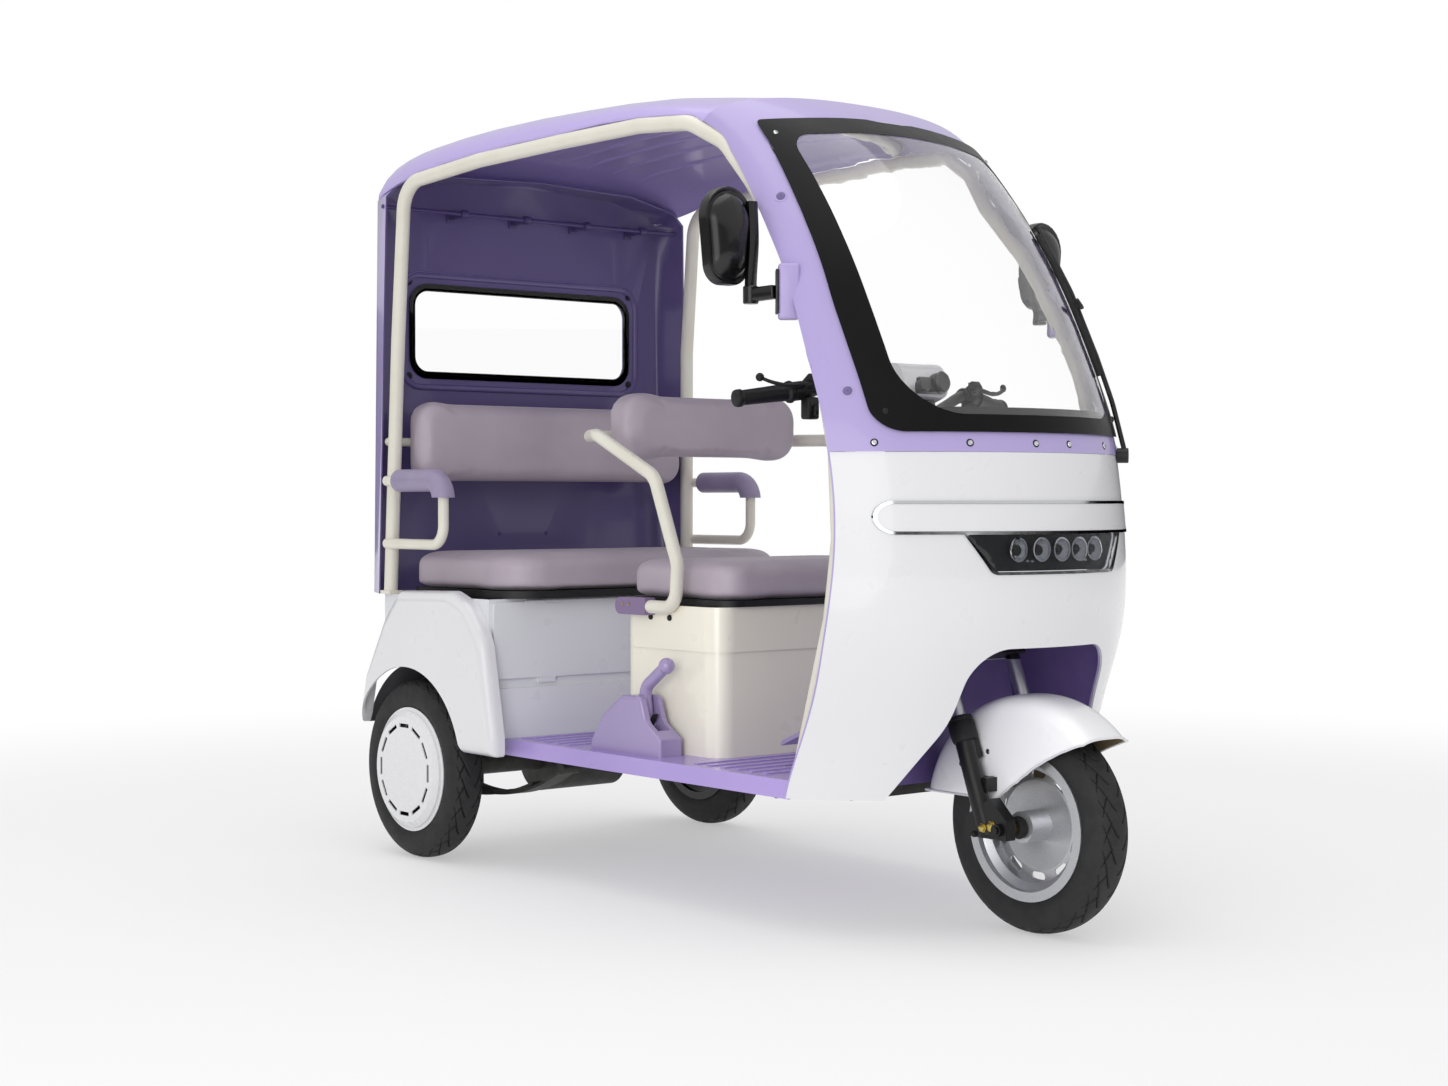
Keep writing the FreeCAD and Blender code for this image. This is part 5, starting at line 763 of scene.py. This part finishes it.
rearWindow = {
    "boltPlaces": [(329, 1348), (329, 1122)], "plateHoles": (70, 740), "cab": -0.80,
    "bolt": [(-0.5, 0), (-0.5, 9), (0.8, 9), (1.4, 8.4), (1.4, 6.2), (4.4, 5.8), (5.2, 4.8),
             (5.2, 2.8), (3.2, 2.7), (3.2, 0)],
    "plug": [(-3.0, 0), (-3.0, 2.9), (0, 2.9), (0.1, 5.2), (0.8, 5.0), (1.4, 3.6), (1.6, 0)],
    "level": 1235, "corner": 40,
    # name, how far outside the opening, width, height and finish
    "frames": [("rearWindowSeal", 0, 9, 4, "softRubber"),
               ("rearWindowSurround", 34, 16, 6, "rearPanelLilacEnamel")],
}
panelTree = surfaceOf("rear_panel")
cab = rearWindow["cab"]
bolts, plugs = bmesh.new(), bmesh.new()
plateAcross, plateHeight = rearWindow["plateHoles"]
for side in (-1, 1):
    for across, height in rearWindow["boltPlaces"]:
        place, normal = fromFront(panelTree, side * across, height, cab)
        lathe(bolts, rearWindow["bolt"], place, (1, 0, 0))
    place, normal = fromFront(panelTree, side * (plateAcross + 6), plateHeight, cab)
    lathe(plugs, rearWindow["plug"], (place.x, side * plateAcross * mm, place.z), (1, 0, 0))
finishPiece("rearWindowBolts", bolts, "blackAbs")
finishPiece("plateHolePlugs", plugs, "duskPurplePolypropylene")


def openingEdge(step):
    # walks out from the middle of the opening until the panel's inner face is met
    spot = Vector((cab, 0, rearWindow["level"] * mm))
    while seat(panelTree, spot, (-1, 0, 0))[0] is None:
        spot += Vector(step)
    return spot


half = openingEdge((0, mm, 0)).y / mm - 3
low = openingEdge((0, 0, -mm)).z / mm + 3
high = openingEdge((0, 0, mm)).z / mm - 3
level = fromFront(panelTree, half + 12, rearWindow["level"], cab)[0].x
for name, out, width, height, finish in rearWindow["frames"]:
    outline = loopOutline([(-half - out, low - out), (-half - out, high + out),
                           (half + out, high + out), (half + out, low - out)],
                          [rearWindow["corner"] + out * 0.4] * 4, 8, 12)
    section = [(-width / 2, -0.5), (-width / 2.6, height * 0.7), (-width / 4, height),
               (width / 4, height), (width / 2.6, height * 0.7), (width / 2, -0.5)]
    bm = bmesh.new()
    sweepSection(bm, [Vector((level, y * mm, z * mm)) for y, z in outline], section,
                 (1, 0, 0), True)
    finishPiece(name, bm, finish)


# Canopy skins: the panel's side walls and the roof's rear rows draw in towards the posts.

taper = {"wallStart": 0.36, "wallShare": 0.42, "front": -0.873, "back": -0.974,
         "roofStart": -0.72, "roofEnd": -0.961, "roofShare": 0.05}


def shareBetween(value, start, end):
    return min(max((start - value) / (start - end), 0), 1)


bm = copyOf("rear_panel")
for vert in bm.verts:
    share = shareBetween(vert.co.x, taper["front"], taper["back"])
    beyond = max(abs(vert.co.y) - taper["wallStart"], 0)
    vert.co.y -= math.copysign(beyond * taper["wallShare"] * share, vert.co.y)
finishPiece("rearPanelSkin", bm, "rearPanelLilacEnamel", ["rear_panel"], even=True)
bm = copyOf("roof")
for vert in bm.verts:
    share = shareBetween(vert.co.x, taper["roofStart"], taper["roofEnd"])
    vert.co.y *= 1 - taper["roofShare"] * share ** 2
finishPiece("roofSkin", bm, "roofLilacEnamel", ["roof"], even=True)


# Pillar covers: a flush lilac blister over each place where the tube comes near the skin.

cover = {"centre": (0.555, 0.375, 1.093), "facing": (0.37, 0.89, 0.26), "up": (-0.45, 0, 0.9),
         "half": (20, 62), "rows": 8, "steps": 28, "deepest": 12 * mm}
bm = bmesh.new()
for side, tube in ((-1, "side_frame_right"), (1, "side_frame_left")):
    tree = surfaceOf("screen_frame", tube)
    mirrored = Vector((1, side, 1))
    centre = Vector(cover["centre"]) * mirrored
    facing = (Vector(cover["facing"]) * mirrored).normalized()
    turn = frameAt(centre, facing, cover["up"])
    rings = []
    for share in [row / cover["rows"] for row in range(cover["rows"] + 1)]:
        row = []
        for i in range(cover["steps"]):
            angle = 2 * math.pi * i / cover["steps"]
            flat = Vector((cover["half"][0] * share * math.cos(angle),
                           cover["half"][1] * share * math.sin(angle), 60)) * mm
            place, normal = seat(tree, turn @ flat, -facing)
            if place is None or (place - centre).dot(facing) < -cover["deepest"]:
                place = turn @ Vector((flat.x, flat.y, -6 * mm))
            row.append(bm.verts.new(place + facing * (0.9 - 1.6 * share ** 6) * mm))
        rings.append(row)
    bridge(bm, rings)
finishPiece("pillarCovers", bm, "screenFrameLilacEnamel")


# Head lamp: a dark bowl with chrome modules behind a clear cover.

lamp = {
    "coverThickness": 3, "bowlDepth": 15, "bowlBack": 23.5, "rim": 8 * mm,
    "modulePlaces": [-105, -52, 0, 52, 105], "height": 731,
    "ledPlaces": [-80, -68, 68, 80], "ledHeight": 710,
    "bowl": [(-4, 0), (-4, 9), (0, 13), (6, 19), (8, 22), (9.5, 22), (9.5, 20), (7, 17.5),
             (1, 11), (-1, 0)],
    "ring": [(8.5, 19.5), (8.5, 23), (11, 23), (11.5, 21.5), (11, 19.5), (8.5, 19.5)],
    "lens": [(1, 0), (1, 9), (4, 8.2), (6.5, 5.5), (7.8, 2.5), (8, 0)],
}
lampTree = surfaceOf("head_lamp")


def lampShell(front, back):
    # the lamp's own outline between two depths behind its face, in mm
    centre = middle("head_lamp")
    bm = copyOf("head_lamp")
    for vert in bm.verts:
        start = Vector((2, centre.y + (vert.co.y - centre.y) * 0.99,
                        centre.z + (vert.co.z - centre.z) * 0.98))
        place = lampTree.ray_cast(start, Vector((-1, 0, 0)))[0]
        if place is not None:
            depth = front if abs(place.x - vert.co.x) < lamp["rim"] else back
            vert.co.x = place.x - depth * mm
    return bm


finishPiece("lampBowl", lampShell(lamp["bowlDepth"], lamp["bowlBack"]), "lampBowlBlack", ["head_lamp"])
finishPiece("lampCover", lampShell(0, lamp["coverThickness"]), "smokedPolycarbonate")
bowls, rings, lenses = [bmesh.new() for made in range(3)]
for across in lamp["modulePlaces"]:
    place, normal = fromFront(lampTree, across, lamp["height"])
    place.x -= (lamp["bowlDepth"] + 0.5) * mm
    lathe(bowls, lamp["bowl"], place, (1, 0, 0), 32)
    lathe(rings, lamp["ring"], place, (1, 0, 0), 32)
    lathe(lenses, lamp["lens"], place, (1, 0, 0))
for across in lamp["ledPlaces"]:
    place, normal = fromFront(lampTree, across, lamp["ledHeight"])
    place.x -= (lamp["bowlDepth"] - 1) * mm
    roundBox(rings, (8, 5, 4), place, (1, 0, 0), (0, 0, 1), 1)
finishPiece("lampReflectors", bowls, "chromePlate")
finishPiece("lampRings", rings, "chromePlate")
finishPiece("lampModules", lenses, "pianoBlackAbs")
print("lamp made")


# Mirrors: a domed head with a raised rim, a blade arm, a knuckle and a lilac foot on the pillar.

mirror = {
    "centre": (0.366, 0.440, 1.327),
    "outline": [(-64, 94), (64, 94), (44, -94), (-44, -94)], "radii": [58, 60, 40, 34],
    "rows": [(-8, 0.955), (-8, 1.0), (8, 1.0), (13, 0.985), (14, 0.95), (11, 0.90), (12, 0.86),
             (20, 0.80), (27, 0.66), (32, 0.46), (34, 0.22), (34.5, 0.04)],
    "glassRows": [(-5, 0.965), (-6.5, 0.95), (-6.5, 0.02)],
    "blade": [(0.384, 0.388, 1.395), (0.388, 0.388, 1.32), (0.394, 0.398, 1.25),
              (0.402, 0.405, 1.212)],
    "bladeSection": [(-11, -5), (-11, 5), (-8, 7), (8, 7), (11, 5), (11, -5), (8, -7), (-8, -7)],
    "knuckle": [(-17, 0), (-17, 13), (-15, 15), (15, 15), (17, 13), (17, 0)],
    "hub": (0.402, 0.405, 1.214), "foot": (0.474, 0.372, 1.217), "away": (-0.62, 0.78, 0),
}
shells, glasses, mounts = [bmesh.new() for made in range(3)]
outline = loopOutline(mirror["outline"], mirror["radii"], 8, 4)
for side in (-1, 1):
    mirrored = Vector((1, side, 1))
    centre = Vector(mirror["centre"])
    for bm, rows in ((shells, mirror["rows"]), (glasses, mirror["glassRows"])):
        rings = [[bm.verts.new((centre.x + depth * mm, side * (centre.y + y * scale * mm),
                                centre.z + z * scale * mm)) for y, z in outline]
                 for depth, scale in rows]
        bridge(bm, rings)
        bm.faces.new(rings[-1])
        if bm is shells:
            bm.faces.new(rings[0])
    sweepSection(shells, smoothPath([Vector(p) * mirrored for p in mirror["blade"]], 14),
                 mirror["bladeSection"], (1, 0, 0))
    foot = Vector(mirror["foot"]) * mirrored
    away = (Vector(mirror["away"]) * mirrored).normalized()
    hub = Vector(mirror["hub"]) * mirrored
    plate = foot + away * 24 * mm
    roundBox(mounts, (30, 106, 40), foot, away, (0, 0, 1), 6, 3)
    roundBox(shells, (34, 84, 6), foot + away * 22 * mm, away, (0, 0, 1))
    roundBox(shells, (22, 26, (plate - hub).length / mm), (hub + plate) / 2, plate - hub,
             (0, 0, 1), 4, 3)
    lathe(shells, mirror["knuckle"], hub, (0, 0, 1), 20)
finishPiece("mirrorHeads", shells, "glossBlackAbs", ["mirrors"])
finishPiece("mirrorGlasses", glasses, "chromePlate")
finishPiece("mirrorFeet", mounts, "screenFrameLilacEnamel")


# Hand controls: rubber grips with a flange, clamped perches, curved levers and switch blocks.

controls = {
    "grip": [(-5, 0), (-5, 13), (-3, 16), (2, 17.5), (10, 17.5), (13, 15), (60, 16), (108, 17.4),
             (112, 21.5), (118, 22.5), (121, 21), (122, 17), (122, 11.4)],
    "perch": [(123, 11.4), (123, 17), (125, 19), (146, 19), (148, 17), (152, 17), (154, 15.5),
              (170, 15.5), (172, 14), (172, 11.4)],
    "lever": [(0.377, 0.222, 1.058), (0.383, 0.250, 1.052), (0.378, 0.290, 1.047),
              (0.366, 0.322, 1.053), (0.355, 0.342, 1.062)],
    "leverSizes": [1.25, 1.15, 1.0, 0.85, 0.8],
    "dials": [(21, 0.030, 1.058), (13, -0.020, 1.050)],
}
low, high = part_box("handlebar")
barX, barZ = high.x - 0.011, low.z + 0.011
bm = bmesh.new()
for side in (-1, 1):
    end = Vector((barX - 0.117, side * 0.372, barZ + 0.019))
    way = (Vector((barX - 0.0736, side * 0.208, barZ + 0.041)) - end).normalized()
    lathe(bm, controls["grip"], end, way, 28)
    lathe(bm, controls["perch"], end, way, 28)
    path = smoothPath([(x, side * y, z) for x, y, z in controls["lever"]], 20)
    sizes = [s.x for s in smoothPath([(s, 0, 0) for s in controls["leverSizes"]], 20)]
    sweepSection(bm, path, roundSection(7, 12, 0.62), (0, 0, 1), False, sizes)
    bmesh.ops.create_uvsphere(bm, u_segments=16, v_segments=10, radius=8.5 * mm,
                              matrix=Matrix.Translation(path[-1]))
    root = end + way * 150 * mm
    roundBox(bm, (26, 20, 44), root + Vector((0.014, 0, 0.012)), (0.8, 0, 0.6), (0, 0, 1), 4, 3)
    lathe(bm, [(-11, 0), (-11, 8), (11, 8), (11, 0)], path[0], (0, 0, 1), 16)
    roundBox(bm, (26, 30, 44), root + Vector((0.012, -side * 0.004, -0.036)), bevel=5, steps=3)
    roundBox(bm, (18, 10, 22), root + Vector((0.026, -side * 0.004, -0.040)), bevel=3)
finishPiece("handControls", bm, "controlBlackRubber", ["hand_controls"], steered)
bm = bmesh.new()
roundBox(bm, (76, 34, 30), (0.462, 0.012, 1.052), (1, 0, 0.1), (0, 0, 1), 9, 3)
for radius, y, z in controls["dials"]:
    lathe(bm, [(-12, 0), (-12, radius), (10, radius), (12, radius - 2), (12, 0)],
          (0.474, y, z), (1, 0, 0.2))
finishPiece("podCluster", bm, "pianoBlackAbs", body=steered)
print("mirrors and controls made")


# Front fender: a rounded shell over the wheel with full side skirts, a rolled edge and a lining.

guard = {
    "radius": 250, "half": 66, "crown": 46, "power": 0.62, "wall": 2.2, "lining": 1.6,
    "from": 168, "to": 46, "steps": 84, "crownSteps": 22, "sideSteps": 8, "footRise": 50,
    "lowRadius": [(46, 236), (48, 222), (50, 207), (56, 172), (62.5, 143), (73, 110), (84.8, 88),
                  (105, 72), (130, 65)],
    "rivets": [(702, 344), (714, 294)], "rivet": [(-1, 0), (-1, 5.4), (0.8, 5.2), (1.6, 3.8), (2, 0)],
    "lipRadius": 2.4,
}


def guardLow(angle):
    # how near the axle the side skirt reaches at an angle round the wheel
    table = guard["lowRadius"]
    if angle >= table[-1][0]:
        return guard["footRise"] / math.sin(math.radians(angle))
    for (a, ra), (b, rb) in zip(table, table[1:]):
        if angle <= b:
            return ra + (rb - ra) * max(angle - a, 0) / (b - a)


def guardRow(angle, inset):
    # the section's points (across, radius) from the right skirt's foot over the crown
    top, half = guard["radius"] - inset, guard["half"] - inset
    shoulder = guard["radius"] - guard["crown"]
    low = min(guardLow(angle), top - 1)
    skirt = [(-half, low + (max(shoulder, low) - low) * i / guard["sideSteps"])
             for i in range(guard["sideSteps"])]
    arch = archPoints(half, shoulder, top, guard["power"], guard["crownSteps"])
    return skirt + [(y, max(r, low)) for y, r in arch] + [(-y, r) for y, r in skirt[::-1]]


def guardShell(outer, inner):
    bm = bmesh.new()
    edges = []
    for inset in (outer, inner):
        rings = []
        for i in range(guard["steps"] + 1):
            angle = guard["from"] + (guard["to"] - guard["from"]) * i / guard["steps"]
            turn = math.radians(angle)
            rings.append([bm.verts.new((frontAxle.x + r * mm * math.cos(turn), y * mm,
                                        frontAxle.z + r * mm * math.sin(turn)))
                          for y, r in guardRow(angle, inset)])
        bridge(bm, rings, False)
        edges.append(rings[0] + [ring[-1] for ring in rings[1:-1]] + rings[-1][::-1]
                     + [ring[0] for ring in rings[-2:0:-1]])
    bridge(bm, edges)
    return bm, [v.co.copy() for v in edges[0]]


bm, rim = guardShell(0, guard["wall"])
finishPiece("frontFender", bm, "glossWhitePaint", ["front_fender"], steered)
bm, edge = guardShell(guard["wall"] + 0.1, guard["wall"] + guard["lining"])
finishPiece("fenderLining", bm, "taupeUndercoat", body=steered)
path = [spot for i, spot in enumerate(rim) if (spot - rim[i - 1]).length > 0.8 * mm]
ups = [Vector((spot.x - frontAxle.x, spot.y * 0.4, spot.z - frontAxle.z)).normalized()
       for spot in path]
bm = bmesh.new()
sweepSection(bm, path, roundSection(guard["lipRadius"], 8), ups, True)
finishPiece("fenderLip", bm, "glossWhitePaint", body=steered)
bm = bmesh.new()
for side in (-1, 1):
    for x, z in guard["rivets"]:
        lathe(bm, guard["rivet"], (x * mm, side * guard["half"] * mm, z * mm), (0, side, 0), 18)
finishPiece("fenderRivets", bm, "brightSteel", body=steered)


# Fork: dust boots over the leg tops, fender brackets and plated bolts.

legs = {
    "boot": [(-26, 19.5), (-26, 23.5), (-20, 25.5), (-8, 26), (10, 26), (13, 24), (15, 24.6),
             (22, 23), (24, 17), (24, 14)],
    "bootPlace": (0.661, 0.094, 0.387), "axis": (-0.36, 0, 0.93),
    "bracket": (0.684, 0.084, 0.356),
    "bolts": [(733, 206, 7.5), (751, 210, 9)], "smallBolts": [(707, 191, 5), (664, 320, 5)],
    "spacer": [(50, 0), (50, 21), (54, 22), (62, 19), (66, 17), (66, 0)],
    "nut": [(66, 0), (66, 11), (78, 11), (79, 9), (79, 0)],
}
forkTree = surfaceOf("front_fork")
rubberParts, plated = bmesh.new(), bmesh.new()
for side in (-1, 1):
    x, y, z = legs["bootPlace"]
    lathe(rubberParts, legs["boot"], (x, side * y, z), legs["axis"], 28)
    x, y, z = legs["bracket"]
    roundBox(rubberParts, (12, 50, 22), (x, side * y, z), (0, side, 0), legs["axis"], 3)
    for bm, places in ((plated, legs["bolts"]), (rubberParts, legs["smallBolts"])):
        for x, z, r in places:
            place, normal = seat(forkTree, (x * mm, side * 0.3, z * mm), (0, -side, 0))
            if place is not None:
                lathe(bm, [(-1, 0), (-1, r * 1.25), (1, r * 1.25), (1.4, r), (4.6, r),
                           (5.4, r * 0.8), (5.4, 0)], place, (0, side, 0), 6 if r > 6 else 16)
    hub = (frontAxle.x, 0, frontAxle.z)
    lathe(rubberParts, legs["spacer"], hub, (0, side, 0), 28)
    lathe(plated, legs["nut"], hub, (0, side, 0), 6)
finishPiece("forkRubber", rubberParts, "softRubber", body=steered)
finishPiece("forkBolts", plated, "yellowZincPlate", body=steered)
print("fender and fork pieces made")


# Small fastenings round the driver's seat, and the hand brake's slot.

fastenings = {"head": [(-1, 0), (-1, 6.5), (1.5, 6.5), (3.5, 5.6), (4.2, 3.6), (4.2, 0)],
              "boxScrews": [-0.059, 0.005], "clampScrews": [-0.120, -0.100]}
dark, bright = bmesh.new(), bmesh.new()
boxTree = surfaceOf("seat_box")
clampTree = surfaceOf("hoop_clamps")
brakeTree = surfaceOf("hand_brake")
head = fastenings["head"]
for side in (-1, 1):
    for x in fastenings["boxScrews"]:
        place, normal = seat(boxTree, (x, side * 0.5, 0.578), (0, -side, 0))
        lathe(dark, head, place, normal, 18)
    for x in fastenings["clampScrews"]:
        place, normal = seat(clampTree, (x, side * 0.5, 0.604), (0, -side, 0))
        lathe(bright, [(p * 0.5, r * 0.45) for p, r in head], place, normal, 14)
place, normal = fromFront(brakeTree, -330, 352, 1)
roundBox(dark, (15, 66, 4), place - normal * 0.6 * mm, normal, (0, 0, 1), 1.5)
place, normal = seat(brakeTree, (0.044, -0.5, 0.462), (0, 1, 0))
if place is not None:
    lathe(bright, head, place, (0, -1, 0), 14)
finishPiece("seatBoxScrews", dark, "softRubber")
finishPiece("seatClampScrews", bright, "yellowZincPlate")


# Wiper blade: a rubber strip beside the arm, on the pane.

wiper = {"section": [(-1.2, 0), (-3.5, 3.5), (-3.5, 8), (-1.5, 11), (1.5, 11), (3.5, 8),
                     (3.5, 3.5), (1.2, 0)], "steps": 14}
hits = [fromFront(paneTree, 245 + 20 * (1 - share), 1070 + 290 * share)
        for share in [i / wiper["steps"] for i in range(wiper["steps"] + 1)]]
bm = bmesh.new()
sweepSection(bm, [place + normal * mm for place, normal in hits], wiper["section"],
             [normal for place, normal in hits])
place, normal = hits[wiper["steps"] // 2]
roundBox(bm, (10, 44, 8), place + normal * 13 * mm + Vector((0, 0.014, 0)), normal)
finishPiece("wiperBlade", bm, "softRubber")
print("small pieces made")


# Stage: white floor and backdrop, a sky that only lights, and two large soft lamps.

light = {"sky": 0.68, "keySize": 3.0, "keyPower": 34, "topSize": 5.0, "topPower": 62,
         "cabSize": 1.6, "cabPower": 24, "floorSize": 60.0, "floorGlow": 0.42,
         "fadeStart": 2.0, "fadeEnd": 4.5, "cardRadius": 9, "cardHeight": 1.5, "cardMiddle": 1.25}


def rayShare(tree, *kinds):
    # 1 where a ray is of one of these kinds
    rays = addNode(tree, "LightPath")
    share = rays.outputs[kinds[0]]
    for kind in kinds[1:]:
        share = addNode(tree, "Math", {"operation": "ADD", "use_clamp": True},
                        {0: share, 1: rays.outputs[kind]})
    return share


bm = bmesh.new()
bmesh.ops.create_grid(bm, x_segments=1, y_segments=1, size=light["floorSize"] / 2)
# White card: matt, and far off it melts into the backdrop.
material = surface("whiteCard", "card", "#fbfbfb")
floor = addMesh("studioFloor", bm, material)
floor.location.z = -0.5 * mm
tree, shader, place = partsOf(material)
seen = rayShare(tree, "Is Camera Ray", "Is Transmission Ray", "Is Glossy Ray")
far = addNode(tree, "VectorMath", {"operation": "LENGTH"}, {0: place})
fade = addNode(tree, "MapRange",
               {"From Min": light["fadeStart"], "From Max": light["fadeEnd"],
                "interpolation_type": "SMOOTHSTEP"}, {"Value": far.outputs["Value"]})
soft = addNode(tree, "MapRange", {"To Min": light["floorGlow"]}, {"Value": fade})
share = addNode(tree, "Math", {"operation": "MULTIPLY"}, {0: seen, 1: soft})
glow = addNode(tree, "Emission", {"Color": (1, 1, 1, 1), "Strength": 1.0})
mix = addNode(tree, "MixShader", links={0: share, 1: shader, 2: glow})
tree.links.new(mix.outputs[0], tree.nodes["Material Output"].inputs["Surface"])

world = bpy.data.worlds.new("studio")
bpy.context.scene.world = world
world.use_nodes = True
tree = world.node_tree
tree.nodes.clear()
dim, shown = [addNode(tree, "Background", {"Color": (1, 1, 1, 1), "Strength": power})
              for power in (light["sky"], 1.0)]
mix = addNode(tree, "MixShader",
              links={0: rayShare(tree, "Is Camera Ray", "Is Transmission Ray"), 1: dim, 2: shown})
addNode(tree, "OutputWorld", links={"Surface": mix})


def makeStudioLamp(name, place, target, size, power):
    data = bpy.data.lights.new(name, "AREA")
    data.shape = "DISK"
    data.size = size
    data.energy = power
    made = bpy.data.objects.new(name, data)
    made.location = place
    made.rotation_euler = (Vector(target) - Vector(place)).to_track_quat("-Z", "Y").to_euler()
    bpy.context.scene.collection.objects.link(made)
    return made


# A black studio wall that only shows in reflections, so that plating and gloss read as such.
bm = bmesh.new()
bmesh.ops.create_cone(bm, cap_ends=False, segments=64, radius1=light["cardRadius"],
                      radius2=light["cardRadius"], depth=light["cardHeight"])
bmesh.ops.translate(bm, verts=bm.verts, vec=(0, 0, light["cardMiddle"]))
# Black cloth: no light comes off it.
card = addMesh("darkCard", bm, surface("blackStudioCloth", "card", "#0a0a0a", evenRough=1))
for kind in ("camera", "diffuse", "transmission", "volume_scatter", "shadow"):
    setattr(card, "visible_" + kind, False)

makeStudioLamp("keyLamp", (2.5, -3.7, 1.4), (-0.1, 0, 0.7), light["keySize"], light["keyPower"])
makeStudioLamp("topLamp", (-0.1, -0.4, 5.0), (-0.1, 0, 0.0), light["topSize"], light["topPower"])

# A weak lamp that only lifts the inside and the wheel, as a white card beside them would.
cabLamp = makeStudioLamp("cabLamp", (1.7, -2.6, 1.0), (-0.2, 0.1, 0.7), light["cabSize"],
                         light["cabPower"])
lit = bpy.data.collections.new("insidePieces")
for name in ("seat_box", "bench_box", "bench_flap", "floor_deck", "front_rim", "hand_brake",
             "driverCushion", "driverBackrest", "benchCushion", "benchBackrest",
             "frontFender", "roofSkin", "roofRibs"):
    lit.objects.link(bpy.data.objects[name])
cabLamp.light_linking.receiver_collection = lit

bpy.context.scene.view_settings.view_transform = "Standard"
print("stage set")
